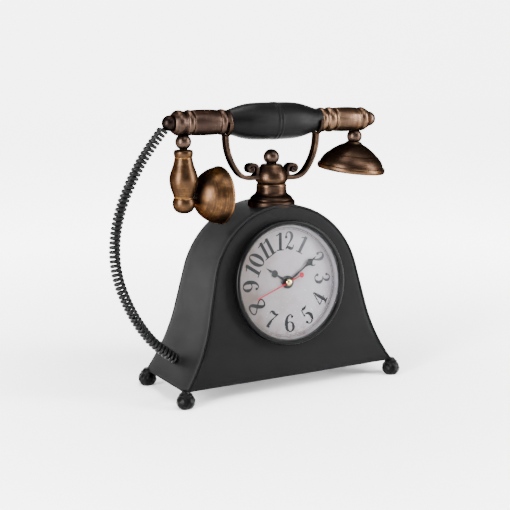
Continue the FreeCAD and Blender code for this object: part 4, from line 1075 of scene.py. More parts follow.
@dataclass
class Clock:
    """Bezel, lens, dial print, hands and the brass cap."""

    workshop: Workshop
    dial: ClockFrame

    def bezel(self) -> Surface:
        """Satin ring with an eased outer edge and a thin stepped lip over the glass."""
        outline = Outline(50.7, 0.0).line((54.0, 0.0), (54.0, 5.6)).arc((53.5, 7.0), (52.2, 7.5))
        outline.line((51.2, 7.5), (50.8, 7.0), (50.3, 6.8), (50.0, 6.5), (50.0, 6.0), (50.7, 6.0))
        return turned(outline, self.dial.axis(), 160, 0.18, closed=True)

    def lens(self) -> Surface:
        """Domed lens: two spherical caps joined by a short edge."""
        outline = Outline(0, 4.4 + 2.2 - 0.2)
        outline.arc((24.7, 4.4 + 1.65 - 0.15), (49.3, 4.5)).line((50.4, 4.5), (50.4, 6.0), (49.5, 6.0))
        outline.arc((24.8, 6.0 + 1.65), (0, 8.2))
        return turned(outline, self.dial.axis(), 128, 0.12)

    def flat(self, outline: Array, low: float, high: float, edge: float, angle: float) -> Surface:
        """A plate drawn on the dial, turned clockwise by an angle."""
        turn = math.radians(angle)
        plate = flat_plate(outline, low, high, edge)
        x, y, z = (plate.points / MM).T
        plate.points = self.dial.place(
            x * math.cos(turn) + y * math.sin(turn), -x * math.sin(turn) + y * math.cos(turn), z
        )
        return plate

    def hands(self) -> None:
        """The three hands, each joined with its hub, and the cap over them."""
        make, axis = self.workshop.piece, self.dial.axis()
        for hand in HANDS:
            low, high, top = hand.levels
            blade = self.flat(hand.outline(), low, high, hand.edge, hand.bearing)
            hub = turned(Outline(0, low).line((hand.hub, low), (hand.hub, top), (0, top)), axis, 64, 0.15)
            name = f"{hand.body.value}_hand"
            make(f"{name}_dressed", blade.joined(hub), hand.body, [name], smooth_angle=40)
        cap = Outline(0, 2.2).line((2.95, 2.2), (2.95, 2.75)).arc((1.9, 3.75), (0, 4.1))
        make("hand_cap_dressed", turned(cap, axis, 48, 0.15), Body.SECOND, ["hand_cap"], smooth_angle=40)

    def build(self) -> None:
        """Make the insert."""
        make = self.workshop.piece
        make("bezel_ring", self.bezel(), Body.HOUSING, ["clock_bezel"])
        make("domed_lens", self.lens(), Body.HOUSING, ["clock_glass"])
        self.hands()
        DialPrint(self.workshop, self.dial).build()


@dataclass(frozen=True)
class Stroke:
    """One pen stroke of a numeral in a box one unit high.

    Attributes:
        knots: Points (x, y, half width) that a smooth spline joins, or straight lines if sharp.
        sharp: Whether the knots are joined by straight lines.
        ball: Radius of a round terminal on the first knot, or 0.
        last_ball: Radius of a round terminal on the last knot, or 0.
    """

    knots: tuple[Place, ...]
    sharp: bool = False
    ball: float = 0.0
    last_ball: float = 0.0


def figure_eight() -> tuple[Place, ...]:
    """The figure 8 as one line: x goes as the sine of twice the angle that y's cosine uses.

    The upper loop is narrower, and the line is wide where it first crosses the middle.
    """
    angle = np.linspace(0, FULL_TURN, 41)
    up = np.cos(angle)
    reach = np.where(up > 0, 0.21, 0.27)
    half = 0.030 + 0.050 * np.exp(-(((angle - math.pi / 2) / 0.9) ** 2))
    return tuple(zip(0.30 + reach * np.sin(2 * angle), 0.52 + 0.48 * up - 0.02, half))


def oval(thin: float, thick: float) -> tuple[Place, ...]:
    """The figure 0: an ellipse that is wide at its sides and thin at its ends."""
    angle = np.linspace(0, FULL_TURN, 33)
    half = thin + (thick - thin) * np.abs(np.sin(angle)) ** 1.6
    return tuple(zip(0.30 + 0.225 * np.sin(angle), 0.5 + 0.475 * np.cos(angle), half))


SIX = (
    Stroke(
        (
            (0.47, 0.83, 0.030), (0.40, 0.95, 0.020), (0.24, 0.90, 0.040), (0.10, 0.62, 0.075), (0.08, 0.34, 0.080),
            (0.17, 0.09, 0.045), (0.31, 0.02, 0.018), (0.46, 0.10, 0.045), (0.52, 0.29, 0.070), (0.45, 0.49, 0.040),
            (0.31, 0.56, 0.018), (0.17, 0.50, 0.020), (0.11, 0.38, 0.020),
        ),
        ball=0.068,
    ),
)
DIGITS: dict[str, tuple[Stroke, ...]] = {
    "0": (Stroke(oval(0.020, 0.078)),),
    "1": (
        Stroke(((0.33, 0.97, 0.070), (0.30, 0.50, 0.072), (0.27, 0.03, 0.070)), sharp=True),
        Stroke(((0.06, 0.82, 0.018), (0.20, 0.87, 0.022), (0.34, 0.97, 0.030))),
        Stroke(((0.05, 0.02, 0.018), (0.48, 0.02, 0.018)), sharp=True),
    ),
    "2": (
        Stroke(
            (
                (0.13, 0.70, 0.030), (0.15, 0.86, 0.022), (0.29, 0.97, 0.020), (0.46, 0.88, 0.060),
                (0.49, 0.70, 0.072), (0.38, 0.47, 0.040), (0.20, 0.25, 0.022), (0.06, 0.05, 0.018),
            ),
            ball=0.072,
        ),
        Stroke(
            (
                (0.06, 0.05, 0.018), (0.16, 0.14, 0.045), (0.30, 0.09, 0.070), (0.44, 0.05, 0.055),
                (0.53, 0.12, 0.022), (0.55, 0.24, 0.016),
            )
        ),
    ),
    "3": (
        Stroke(
            (
                (0.12, 0.78, 0.030), (0.17, 0.92, 0.020), (0.30, 0.97, 0.020), (0.43, 0.87, 0.055),
                (0.43, 0.70, 0.055), (0.34, 0.57, 0.022), (0.22, 0.53, 0.016),
            ),
            ball=0.068,
        ),
        Stroke(
            (
                (0.22, 0.53, 0.016), (0.38, 0.51, 0.030), (0.51, 0.36, 0.072), (0.48, 0.14, 0.060),
                (0.31, 0.02, 0.020), (0.15, 0.06, 0.020), (0.10, 0.19, 0.030),
            ),
            last_ball=0.072,
        ),
    ),
    "4": (
        Stroke(((0.44, 0.97, 0.022), (0.22, 0.62, 0.018), (0.02, 0.29, 0.016)), sharp=True),
        Stroke(((0.02, 0.29, 0.020), (0.60, 0.29, 0.020)), sharp=True),
        Stroke(((0.46, 0.97, 0.030), (0.43, 0.60, 0.068), (0.40, 0.03, 0.072)), sharp=True),
        Stroke(((0.22, 0.02, 0.018), (0.58, 0.02, 0.018)), sharp=True),
    ),
    "5": (
        Stroke(((0.15, 0.94, 0.020), (0.26, 0.93, 0.062), (0.40, 0.93, 0.052), (0.53, 1.00, 0.016))),
        Stroke(((0.16, 0.94, 0.018), (0.12, 0.53, 0.018)), sharp=True),
        Stroke(
            (
                (0.12, 0.53, 0.018), (0.25, 0.61, 0.022), (0.41, 0.56, 0.055), (0.51, 0.36, 0.078),
                (0.45, 0.13, 0.055), (0.29, 0.02, 0.020), (0.14, 0.06, 0.020), (0.09, 0.18, 0.030),
            ),
            last_ball=0.072,
        ),
    ),
    "6": SIX,
    "7": (
        Stroke(
            ((0.05, 0.78, 0.016), (0.09, 0.93, 0.030), (0.22, 0.92, 0.070), (0.38, 0.87, 0.050), (0.56, 0.97, 0.016))
        ),
        Stroke(((0.56, 0.97, 0.018), (0.40, 0.66, 0.028), (0.28, 0.36, 0.060), (0.24, 0.04, 0.082))),
    ),
    "8": (Stroke(figure_eight()),),
    "9": (
        Stroke(tuple((0.60 - x, 1.0 - y, half) for x, y, half in SIX[0].knots), ball=0.068),
    ),
}


@dataclass
class DialPrint:
    """Numerals, a faint minute ring and its ticks, printed a hair above the dial."""

    workshop: Workshop
    dial: ClockFrame
    numeral_radius: float = 36.0
    numeral_height: float = 15.9
    weight: float = 1.35
    ring_radius: float = 46.2
    ring_gap: float = 1.3
    ring_lines: Point = (0.20, 0.26)
    hour_tick: float = 0.34
    minute_tick: float = 0.17
    level: float = -1.1
    film: float = 0.04
    gaps: tuple[tuple[str, float], ...] = (("10", 9.0), ("11", 6.4), ("12", 8.8))

    def ribbon(self, line: Array, half: Array) -> Surface:
        """A thin flat ribbon with a square section, on a line on the dial.

        Each point of the line gives four corners: both edges, half a width out along the
        line's normal, on the dial and a film's thickness above it.
        """
        heading = unit(np.gradient(line, axis=0))
        normal = np.stack([-heading[:, 1], heading[:, 0]], -1)
        left, right = line + normal * half[:, None], line - normal * half[:, None]
        flat = np.stack([left, right, right, left], 1)
        low, high = self.level - 0.02, self.level + self.film
        points = self.dial.place(flat[..., 0], flat[..., 1], np.array([low, low, high, high]))
        along = np.arange(len(line)) * MM
        return grid_surface(points, 0.0, along, np.linspace(0, 1, 5), False, True).capped(4)

    def dot(self, centre: Array, radius: float) -> Surface:
        """A round terminal: a ribbon straight across, as wide at each point as a circle."""
        across = radius * np.cos(np.linspace(math.pi, 0, 17))
        half = np.sqrt(np.maximum(radius**2 - across**2, 1e-6))
        return self.ribbon(np.stack([centre[0] + across, centre[1] + 0 * across], -1), half)

    def digit(self, name: str, centre: Array, turn: float) -> list[Surface]:
        """One digit about a centre, turned clockwise by an angle in radians."""
        size = self.numeral_height
        right = np.array([math.cos(turn), -math.sin(turn)])
        up = np.array([math.sin(turn), math.cos(turn)])
        parts = []
        for stroke in DIGITS[name]:
            knots = np.array(stroke.knots)
            if stroke.sharp:
                line = spread_along(knots, 0.04)
            else:
                path = Outline(*knots[0, :2]).curve(*[tuple(row) for row in knots[1:, :2]])
                smooth = np.concatenate(path.points)
                run, share = running(knots[:, :2]), running(smooth)
                width = np.interp(share / share[-1], run / run[-1], knots[:, 2])
                line = np.column_stack([smooth, width])
            flat = (line[:, :1] - 0.30) * right * size + (line[:, 1:2] - 0.5) * up * size + centre
            parts.append(self.ribbon(flat, np.maximum(line[:, 2] * self.weight, 0.032) * size))
            for radius, spot in ((stroke.ball, flat[0]), (stroke.last_ball, flat[-1])):
                if radius:
                    parts.append(self.dot(spot, radius * size * 1.15))
        return parts

    def numerals(self) -> Surface:
        """The numbers 1 to 12, tops outward from 9 round to 3 and inward from 4 to 8."""
        whole: Surface | None = None
        for hour in range(1, 13):
            bearing = math.radians(30 * hour)
            turn = bearing + (math.pi if 4 <= hour <= 8 else 0.0)
            centre = self.numeral_radius * np.array([math.sin(bearing), math.cos(bearing)])
            right = np.array([math.cos(turn), -math.sin(turn)])
            text = str(hour)
            gap = dict(self.gaps).get(text, 0.0)
            for place, letter in enumerate(text):
                shift = (place - (len(text) - 1) / 2) * gap
                for part in self.digit(letter, centre + right * shift, turn):
                    whole = part if whole is None else whole.joined(part)
        return whole

    def minute_ring(self) -> Surface:
        """Two hairlines round the dial with a tick between them at each minute."""
        turn = np.linspace(0, FULL_TURN, 181)
        circle = np.stack([np.sin(turn), np.cos(turn)], -1)
        radii = (self.ring_radius, self.ring_radius + self.ring_gap)
        inner, outer = (
            self.ribbon(circle * radius, np.full(len(turn), half)) for radius, half in zip(radii, self.ring_lines)
        )
        whole = inner.joined(outer)
        for minute in range(60):
            bearing = math.radians(6 * minute)
            ray = np.array([[math.sin(bearing), math.cos(bearing)]])
            half = self.hour_tick if minute % 5 == 0 else self.minute_tick
            whole = whole.joined(self.ribbon(np.array(radii)[:, None] * ray, np.full(2, half)))
        return whole

    def build(self) -> None:
        """Make the card, the liner round it and both prints."""
        low, axis = self.level - 0.1, self.dial.axis()
        card = Outline(4.5, -3.0).line((49.3, -3.0), (49.3, self.level), (4.5, self.level))
        liner = Outline(48.9, low).line((49.35, low), (49.35, 3.7), (48.9, 3.7))
        for name, surface, replaces, finish in (
            ("printed_card", turned(card, axis, 128, 0.1, closed=True), ["dial_plate"], ""),
            ("card_liner", turned(liner, axis, 128, 0.1, closed=True), [], ""),
            ("numerals", self.numerals(), [], "printed_ink"),
            ("minute_ring", self.minute_ring(), [], "faint_printed_ink"),
        ):
            slot = "" if replaces else "dial_card"
            self.workshop.piece(name, surface, Body.HOUSING, replaces, slot, finish, smooth_angle=40)


# ---------------------------------------------------------------------------------- pedestal
@dataclass
class Pedestal:
    """Turned foot, dome and finial ball on the arch."""

    workshop: Workshop
    shape: HousingShape

    def base(self) -> Surface:
        """The turned foot, its lowest ring dropped onto the arch.

        The lowest ring's height at each x is the arch's: centre height plus the root of the
        radius squared less x squared.
        """
        outline = Outline(0, 158.0).line((20.9, 158.0), (20.9, 161.8)).arc((20.5, 163.4), (19.4, 164.4))
        outline.line((18.8, 164.6), (18.8, 165.6)).curve((17.1, 167.6), (14.6, 169.3), (13.6, 171.0))
        outline.line((13.4, 171.8), (13.2, 175.6)).arc((13.0, 177.6), (12.4, 178.7)).line((0, 178.7))
        surface = turned(outline, Axis(), 128, 0.3)
        low = surface.points[:, 2] < 158.2 * MM
        x = surface.points[:, 0] / MM
        arch = self.shape.arch_z + np.sqrt(self.shape.arch_radius**2 - x**2)
        # Lowering the wear number below about 170 mm darkens the flange: a painted shade where the foot sits on the
        # housing.
        surface.wear -= 1.6 * np.clip((170.5 - surface.points[:, 2] / MM) / 4.0, 0, 1)
        surface.points[:, 2] = np.where(low, (arch - 0.05) * MM, surface.points[:, 2])
        return surface

    def dome(self) -> Surface:
        """The dome above the seam."""
        outline = Outline(0, 178.9).line((12.6, 178.9), (12.9, 179.4)).arc((14.0, 181.1), (14.4, 183.8))
        outline.curve((13.5, 187.8), (10.9, 192.2), (9.5, 194.3)).line((9.1, 195.0), (8.6, 195.3), (0, 195.3))
        return turned(outline, Axis(), 128, 0.25)

    def finial(self) -> Surface:
        """A ball on a short neck."""
        outline = Outline(0, 195.2).line((4.8, 195.2), (4.1, 196.0))
        outline.arc((7.0, 201.8), (2.2, 208.2)).arc((1.2, 208.5), (0, 208.6))
        return turned(outline, Axis(), 72, 0.15)

    def build(self) -> None:
        """Make the three turned pieces."""
        for name, surface, node, finish in (
            ("pedestal_foot", self.base(), "pedestal_base", "antique_copper_brown"),
            ("pedestal_cap", self.dome(), "pedestal_dome", "antique_copper_brown"),
            ("finial", self.finial(), "finial_ball", "antique_copper_dark"),
        ):
            self.workshop.piece(name, surface, Body.HOUSING, [node], finish=finish)


# ------------------------------------------------------------------------------------ cradle
class Move(Enum):
    """What a bent bar does next."""

    RUN = "run"
    BEND = "bend"


def bar_path(start: Point, heading: float, moves: Sequence[tuple[Move, float, float]]) -> Array:
    """The middle line of a bar bent in the XZ plane.

    A run goes straight. A bend of radius r and angle a turns about the point r to the left of
    the heading; its points are that centre plus the radius turned back by the angle so far.

    Args:
        start: First point, (x, z), in millimetres.
        heading: First direction in degrees, anticlockwise from +X.
        moves: RUN with a length and 0, or BEND with a radius and degrees to the left.

    Returns:
        Points (x, 0, z).
    """
    place, angle = np.array(start, float), math.radians(heading)
    parts = [place[None]]
    for kind, size, turn in moves:
        if kind is Move.RUN:
            share = np.linspace(0, 1, max(2, int(size / 0.8)))[1:, None]
            part = place + share * size * np.array([math.cos(angle), math.sin(angle)])
        else:
            sweep = np.linspace(0, math.radians(turn), max(4, int(turn / 5)))[1:]
            centre = place + size * np.array([-math.sin(angle), math.cos(angle)])
            bearing = angle + sweep
            part = centre - size * np.stack([-np.sin(bearing), np.cos(bearing)], -1)
            angle += math.radians(turn)
        parts.append(part)
        place = part[-1]
    line = np.concatenate(parts)
    return np.stack([line[:, 0], 0 * line[:, 0], line[:, 1]], -1)


@dataclass
class Cradle:
    """Two bent arms with volutes, and the open yokes that carry the handset."""

    workshop: Workshop
    axis_z: float = 233.0
    tilt: float = 1.25
    half_spacing: float = 45.3
    yoke_inner: float = 10.5
    yoke_sheet: float = 2.4
    yoke_width: float = 3.2
    strip_width: float = 7.5
    strip_thickness: float = 3.2
    wide_bend: float = 48.0
    tight_bend: float = 15.4
    wide_turn: float = 40.0

    def side(self, hand: str, side: int) -> None:
        """One arm, its volute and its yoke, drawn on the left and mirrored for the right."""
        axis_z = self.axis_z - side * self.half_spacing * math.tan(math.radians(self.tilt))
        outer = self.yoke_inner + self.yoke_sheet
        turned_by = math.sin(math.radians(self.wide_turn))
        low_z = axis_z - outer - 0.2 - (self.wide_bend * turned_by + self.tight_bend * (1 - turned_by))
        section, wear = rounded_bar(self.strip_width, self.strip_thickness, 0.9)
        arm = bar_path(
            (-self.half_spacing, axis_z - outer + 1.0), -90,
            [
                (Move.RUN, 1.2, 0), (Move.BEND, self.wide_bend, self.wide_turn),
                (Move.BEND, self.tight_bend, 90.0 - self.wide_turn), (Move.RUN, 9.6, 0),
            ],
        )
        scroll = bar_path(
            (-17.9, low_z + 0.8), 25,
            [
                (Move.BEND, 5.0, 65), (Move.RUN, 1.8, 0), (Move.BEND, 5.0, 25), (Move.BEND, 3.6, 65),
                (Move.RUN, 2.5, 0), (Move.BEND, 3.0, 185), (Move.BEND, 2.0, 120), (Move.BEND, 1.15, 210),
            ],
        )
        run = running(scroll)
        rolled = np.interp(run / run[-1], [0.0, 0.62, 0.85, 1.0], [1.0, 0.92, 0.52, 0.4])
        across = np.array([0.0, 1.0, 0.0])
        yoke_section, yoke_wear = rounded_bar(self.yoke_width, self.yoke_sheet, 0.7)
        sweep = np.linspace(math.radians(-182.5), math.radians(2.5), 60)
        middle = self.yoke_inner + self.yoke_sheet / 2
        ring = np.stack(
            [np.full_like(sweep, -self.half_spacing), middle * np.cos(sweep), axis_z + middle * np.sin(sweep)], -1
        )
        pieces = {
            f"arm_{hand}": swept(arm, across, section * (1.12, 1.22), wear),
            f"scroll_{hand}": swept(scroll, across, section * (1.08, 1.04), wear, taper=rolled),
            f"yoke_{hand}": swept(ring, np.array([1.0, 0.0, 0.0]), yoke_section, yoke_wear),
        }
        for name, surface in pieces.items():
            if side > 0:
                surface.points[:, 0] *= -1
                surface = surface.turned_out()
            finish = "antique_copper_black" if name.startswith("scroll") else "antique_copper_arm"
            self.workshop.piece(f"bent_{name}", surface, Body.HOUSING, [name], finish=finish)

    def build(self) -> None:
        """Make both sides."""
        self.side("left", -1)
        self.side("right", 1)


# ----------------------------------------------------------------------------------- handset
@dataclass
class Handset:
    """Everything on the rod, and the transmitter and receiver that hang from it."""

    workshop: Workshop
    axis_z: float = 233.0
    tilt: float = 1.25
    knob_radius: float = 6.7
    drop_radius: float = 6.8

    def axis(self) -> Axis:
        """The handset's axis, pointing to its right end."""
        tilt = math.radians(self.tilt)
        return Axis((0.0, 0.0, self.axis_z), (math.cos(tilt), 0.0, -math.sin(tilt)), (0.0, 0.0, 1.0))

    def height(self, station: float) -> float:
        """Height of the axis at a station."""
        return self.axis_z - station * math.tan(math.radians(self.tilt))

    def grip(self) -> Outline:
        """The grip: swelling from both necks, with a raised double ring in the middle."""
        outline = Outline(0, -43.4).line((10.2, -43.4))
        outline.curve((10.8, -41.7), (12.2, -37.3), (14.7, -28.3), (16.0, -16.9), (16.2, -1.1))
        outline.line((16.5, -0.9), (16.5, 0.9), (16.25, 1.2), (16.25, 1.9), (16.5, 2.2), (16.5, 4.0), (16.2, 4.2))
        outline.curve((16.0, 17.9), (15.1, 26.5), (12.2, 37.3), (10.8, 41.7), (10.2, 43.4))
        return outline.line((10.2, 47.8), (0, 47.8))

    def bar(self) -> dict[str, Outline]:
        """Outlines of the turned pieces on the rod, (radius, station)."""
        return {
            "ferrule_left": Outline(0, -52.6).line((9.8, -52.6), (10.3, -52.0)).arc((11.15, -49.8), (10.5, -47.6))
            .line((10.2, -47.1), (10.2, -43.4), (0, -43.4)),
            "barrel_left": Outline(0, -77.9).line((10.2, -77.9), (10.6, -77.4)).arc((11.05, -65.8), (10.6, -54.3))
            .line((10.2, -53.8), (9.6, -53.6), (9.6, -52.6), (0, -52.6)),
            "outer_bead_left": Outline(0, -83.5).line((9.4, -83.5), (10.0, -83.0)).arc((10.9, -80.4), (10.1, -78.2))
            .line((9.7, -77.9), (0, -77.9)),
            "end_collar_left": Outline(0, -95.2).line((7.7, -95.2), (8.2, -94.9), (10.3, -92.2))
            .arc((10.75, -89.4), (10.3, -87.1)).line((9.5, -84.7), (9.4, -83.5), (0, -83.5)),
            "grip_ring_right": Outline(0, 47.8).line((10.2, 47.8), (10.5, 48.1)).arc((10.95, 50.2), (10.5, 52.3))
            .line((9.9, 52.8), (9.8, 55.2), (0, 55.2)),
            "inner_bead_right": Outline(0, 55.2).line((9.9, 55.2), (10.4, 56.0)).arc((11.15, 58.7), (10.4, 61.6))
            .line((9.9, 62.3), (9.9, 63.8), (0, 63.8)),
            "barrel_right": Outline(0, 63.8).line((10.1, 63.8), (10.5, 64.3)).arc((11.0, 75.3), (10.5, 86.3))
            .line((10.1, 86.8), (0, 86.8)),
            "end_collar_right": Outline(0, 86.8).line((9.9, 86.8), (9.9, 89.6), (10.2, 90.2))
            .arc((10.65, 92.2), (10.3, 94.4)).line((7.9, 99.0), (7.6, 99.4), (0, 99.4)),
        }

    def transmitter(self) -> Outline:
        """The turned baluster that hangs at the left, (radius, height)."""
        outline = Outline(0, 213.0).line((3.4, 213.0), (3.7, 212.4), (7.2, 212.1), (7.8, 211.6))
        outline.arc((8.15, 210.4), (8.1, 208.4)).line((7.9, 206.9), (7.4, 206.3), (7.3, 205.7), (7.6, 205.2))
        outline.curve(
            (8.2, 202.0), (9.5, 197.6), (11.3, 192.5), (12.2, 187.5), (11.9, 183.5), (11.0, 179.8), (9.6, 175.5),
            (8.6, 172.5),
        )
        outline.line((8.2, 171.8), (9.0, 170.7))
        return outline.curve((9.7, 167.7), (9.4, 164.5), (7.6, 161.0), (4.6, 158.9), (0, 158.3))

    def bell(self) -> Outline:
        """The spun bell with its step, both walls, (radius, height from the neck)."""
        outline = Outline(0, 0.15).line((6.4, 0.15))
        outline.curve((7.3, 1.4), (11.0, 3.4), (15.0, 5.8), (19.1, 8.7), (22.1, 11.6)).line((23.0, 12.0))
        outline.curve((25.9, 15.0), (27.7, 17.7), (28.7, 20.2), (29.0, 22.5)).line((29.0, 26.0))
        outline.line((28.4, 26.0), (28.4, 22.5)).curve((27.6, 20.7), (26.1, 18.0), (23.7, 15.6), (20.5, 13.3))
        return outline.curve((17.1, 10.4), (12.7, 7.4), (8.0, 5.4), (0, 5.2))

    def build(self) -> None:
        """Make the bar, the transmitter and the receiver."""
        axis = self.axis()
        self.make("turned_grip", turned(self.grip(), axis, 160, 0.2), "handset_grip")
        for name, outline in self.bar().items():
            # Pale copper on the right, dark on the left: a painted light from the right on one metal.
            copper = "pale" if name.endswith("right") else "dark"
            self.make(f"turned_{name}", turned(outline, axis, 128, 0.25), name, copper)
        # The left knob is blacker than the right one: the same painted shade on the left.
        for name, station, low, high, copper in (
            ("end_knob_left", -97.6, -9.0, 2.4, "black"), ("end_knob_right", 101.0, -1.6, 9.0, "dark"),
        ):
            line = ball(self.knob_radius, low, high)
            line.points = [block + (0, station) for block in line.points]
            self.make(f"turned_{name}", turned(line, axis, 72, 0.15), name, copper)
        self.hang_left()
        self.hang_right()

    def make(self, name: str, surface: Surface, node: str, copper: str = "", smooth_angle: float = 60.0) -> None:
        """One piece on the handset, in its slot's finish or a kind of copper."""
        finish = f"antique_copper_{copper}" if copper else ""
        self.workshop.piece(name, surface, Body.HANDSET, [node], finish=finish, smooth_angle=smooth_angle)

    def hang_left(self) -> None:
        """Drop ball, baluster, stem and cup."""
        x, boss_z, cup = -85.2, 172.3, 24.6
        drop_z = self.height(x) - 15.9
        drop = ball(self.drop_radius, -(drop_z - 213.0), 6.3)
        self.make("turned_drop_left", turned(drop, Axis((x, 0.0, drop_z)), 72, 0.15), "drop_ball_left", "dark")
        self.make("turned_baluster", turned(self.transmitter(), Axis((x, 0, 0)), 128, 0.25), "transmitter_body")
        turn, droop = math.radians(5.0), math.radians(2.1)
        out = np.array([math.cos(turn) * math.cos(droop), math.sin(turn) * math.cos(droop), -math.sin(droop)])
        reach = (-49.2 - x) / out[0]
        mouth = np.array([x, 0.0, boss_z]) + out * reach
        outline = Outline(0, -cup).arc((cup * math.sqrt(0.5), -cup * math.sqrt(0.5)), (24.55, -1.9))
        outline.line((25.0, -1.7)).arc((25.2, -0.9), (25.0, -0.1)).line((23.5, 0.0), (23.4, -0.6))
        outline.arc((23.4 * math.sqrt(0.5), -23.4 * math.sqrt(0.5)), (0, -23.4))
        cup_axis = Axis(tuple(mouth), tuple(out), (0.0, 0.0, 1.0))
        self.make("spun_cup", turned(outline, cup_axis, 160, 0.2), "transmitter_cup")
        stem = Outline(0, 7.0).line((4.2, 7.0), (4.2, reach - 23.9), (0, reach - 23.9))
        stem_axis = Axis((x, 0.0, boss_z), tuple(out), (0.0, 0.0, 1.0))
        # Black copper on the stem: a painted shade between the baluster and the cup.
        self.make("cup_stem_turned", turned(stem, stem_axis, 48, 0.2), "cup_stem", "black", smooth_angle=40)

    def hang_right(self) -> None:
        """Drop ball, bell and rim."""
        x = 86.6
        drop_z = self.height(x) - 15.6
        drop = ball(self.drop_radius, -(drop_z - 210.9), 6.3)
        self.make("turned_drop_right", turned(drop, Axis((x, 0.0, drop_z)), 72, 0.15), "drop_ball_right", "dark")
        out = (-math.tan(math.radians(5.0)), math.tan(math.radians(4.0)), -1.0)
        neck = Axis((x, 0.0, 210.8), out)
        self.make("spun_bell", turned(self.bell(), neck, 160, 0.25), "receiver_bell", "brown")
        rim = Outline(28.9, 21.5).line((30.2, 21.5)).arc((30.9, 23.7), (30.4, 26.0)).line((28.9, 26.0))
        self.make("bell_rim", turned(rim, neck, 160, 0.2, closed=True), "receiver_rim", "brown")


# -------------------------------------------------------------------------------------- cord
@dataclass
class SpringCord:
    """The wire spring from the handset's left knob to the housing's left flank."""

    workshop: Workshop
    wire: float = 3.05
    coil: float = 9.9
    pitch: float = 3.9
    route_metres: tuple[Point, ...] = (
        (-0.1030, 0.2305), (-0.1188, 0.2128), (-0.1335, 0.1885), (-0.1445, 0.1638), (-0.1498, 0.1370),
        (-0.1482, 0.1105), (-0.1389, 0.0840), (-0.1260, 0.0615), (-0.1122, 0.0445), (-0.0940, 0.0312),
    )

    def line(self) -> Array:
        """The route's smooth middle line in metres, read from its spline."""
        data = bpy.data.curves.new("cord_route", "CURVE")
        data.dimensions = "3D"
        spline = data.splines.new("NURBS")
        spline.points.add(len(self.route_metres) - 1)
        for point, (x, z) in zip(spline.points, self.route_metres):
            point.co = (x, 0.0, z, 1.0)
        spline.order_u = 3
        spline.use_endpoint_u = True
        spline.resolution_u = 24
        thing = bpy.data.objects.new("cord_route", data)
        mesh = bpy.data.meshes.new_from_object(thing)
        line = np.zeros(len(mesh.vertices) * 3)
        mesh.vertices.foreach_get("co", line)
        bpy.data.meshes.remove(mesh)
        bpy.data.objects.remove(thing)
        bpy.data.curves.remove(data)
        return line.reshape(-1, 3)

    def helix(self) -> Array:
        """The wire's middle line in metres.

        Each point is the route's, plus the coil's radius turned by an angle that grows evenly
        along the route, between the Y axis and the direction square to the route and to Y.
        The radius grows from seven tenths over the first third of a turn.
        """
        route = spread_along(self.line(), 0.0002)
        run = running(route)
        at = np.linspace(0.0, run[-1], int(run[-1] / (self.pitch * MM) * 26) + 1)
        middle = rows_at(at, run, route)
        side = np.array([0.0, 1.0, 0.0])
        square = np.cross(unit(np.gradient(middle, axis=0)), side)
        angle = FULL_TURN * at / (self.pitch * MM)
        radius = (self.coil - self.wire) / 2 * MM * np.clip(0.7 + angle / math.pi, 0.0, 1.0)
        offset = np.cos(angle)[:, None] * side + np.sin(angle)[:, None] * square
        return middle + radius[:, None] * offset

    def build(self) -> None:
        path = self.helix()
        side = unit(np.cross(unit(np.gradient(path, axis=0)), np.array([0.0, 1.0, 0.0])))
        section = self.wire / 2 * spokes(np.linspace(0, FULL_TURN, 10, endpoint=False))
        surface = swept(path / MM, side, section, 0.0)
        wire = self.workshop.piece("spring_wire", surface, Body.HOUSING, ["curly_cord"], smooth_angle=80, rides=False)
        length = float(np.linalg.norm(np.diff(path, axis=0), axis=1).sum())
        LOG.info("spring wire: %.3f m long", length)
        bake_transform(wire)


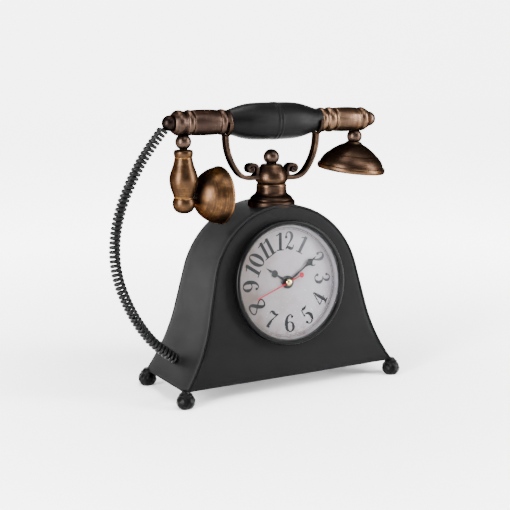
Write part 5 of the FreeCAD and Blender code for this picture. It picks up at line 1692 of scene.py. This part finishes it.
# ------------------------------------------------------------------------------------ studio
@dataclass
class Studio:
    """Pale floor, soft lights and the camera."""

    azimuth: float = -29.13
    elevation: float = 11.19
    distance: float = 1.0838
    lens: float = 86.85
    target: Place = (-0.01636, 0.0, 0.11573)

    def camera(self) -> None:
        """Put the camera on a sphere about its target and aim it there."""
        azimuth, elevation = math.radians(self.azimuth), math.radians(self.elevation)
        away = np.array([
            math.sin(azimuth) * math.cos(elevation), -math.cos(azimuth) * math.cos(elevation), math.sin(elevation),
        ])
        data = bpy.data.cameras.new("camera")
        data.lens = self.lens
        data.sensor_width = 36.0
        data.clip_end = 20.0
        camera = linked("camera", data)
        camera.location = tuple(np.array(self.target) + self.distance * away)
        camera.rotation_euler = (math.pi / 2 - elevation, 0.0, azimuth)
        bpy.context.scene.camera = camera

    def light(self, name: str, place: Sequence[float], size: Point, power: float) -> None:
        """A soft rectangular light aimed at the middle of the object."""
        data = bpy.data.lights.new(name, "AREA")
        data.shape = "RECTANGLE"
        data.size, data.size_y = size
        data.energy = power
        lamp = linked(name, data)
        lamp.location = tuple(place)
        aim = np.array([0.0, 0.0, 0.12]) - np.array(place, float)
        lamp.rotation_euler = Vector(aim).to_track_quat("-Z", "Y").to_euler()

    def sun(self, name: str, turn: Sequence[float], strength: float, spread: float) -> None:
        """A broad even light from far away, turned by Euler angles in degrees."""
        data = bpy.data.lights.new(name, "SUN")
        data.energy = strength
        data.angle = math.radians(spread)
        lamp = linked(name, data)
        lamp.rotation_euler = tuple(math.radians(value) for value in turn)

    def floor(self) -> None:
        """A wide pale floor that curves up behind."""
        across = np.linspace(-6.0, 6.0, 9)
        depth = np.concatenate([np.linspace(-6.0, 3.0, 7), 3.0 + 2.0 * np.sin(np.linspace(0, math.pi / 2, 12)[1:])])
        rise = np.concatenate([np.zeros(7), 2.0 * (1 - np.cos(np.linspace(0, math.pi / 2, 12)[1:]))])
        x, _ = np.meshgrid(across, depth)
        points = np.stack([x, depth[:, None] + 0 * x, rise[:, None] + 0 * x], -1)
        surface = grid_surface(points, 0 * x, depth, across, False, False)
        mesh = bpy.data.meshes.new("floor")
        mesh.from_pydata(surface.points.tolist(), [], surface.faces[0].tolist())
        mesh.shade_smooth()
        g = Graph("pale_floor")
        colour = g.ramp(g.noise(g.place(), 3.0, 2.0, 0.5), (0.3, even(0.93)), (0.7, even(0.95)))
        away = g.add("ShaderNodeVectorMath", {"operation": "LENGTH"}, Vector=g.place())
        near = g.sum((away.outputs["Value"], 1.8), start=-0.30, clamp=True)
        glow = g.sum((near, 3.6), start=0.2)
        mesh.materials.append(
            g.principled(
                Base_Color=colour, Roughness=0.9, Emission_Color=(1.0, 1.0, 1.0, 1.0), Emission_Strength=glow
            )
        )
        floor = linked("floor", mesh)

    def build(self) -> None:
        """Set up the room."""
        world = bpy.data.worlds.new("studio_world")
        world.use_nodes = True
        sky = world.node_tree.nodes["Background"].inputs
        sky["Color"].default_value = (1.0, 1.0, 1.0, 1.0)
        sky["Strength"].default_value = 0.15
        bpy.context.scene.world = world
        self.camera()
        self.floor()
        self.light("left_softbox", (-1.70, -0.60, 0.55), (0.5, 1.1), 150.0)
        self.light("right_softbox", (1.05, -0.80, 0.50), (0.35, 1.0), 70.0)
        self.light("top_softbox", (-0.10, 0.15, 1.35), (1.0, 0.45), 30.0)
        self.sun("top_sun", (34.0, 0.0, 20.0), 3.2, 30.0)


def main() -> None:
    """Build every sub-assembly and the studio."""
    logging.basicConfig(level=logging.INFO, format="%(name)s: %(message)s")
    workshop = Workshop()
    workshop.dress_solids()
    shape = HousingShape()
    dial = ClockFrame(shape)
    Studio().build()
    SpringCord(workshop).build()
    Housing(workshop, shape).build(dial)
    Clock(workshop, dial).build()
    Pedestal(workshop, shape).build()
    Cradle(workshop).build()
    Handset(workshop).build()


if __name__ == "__main__":
    main()
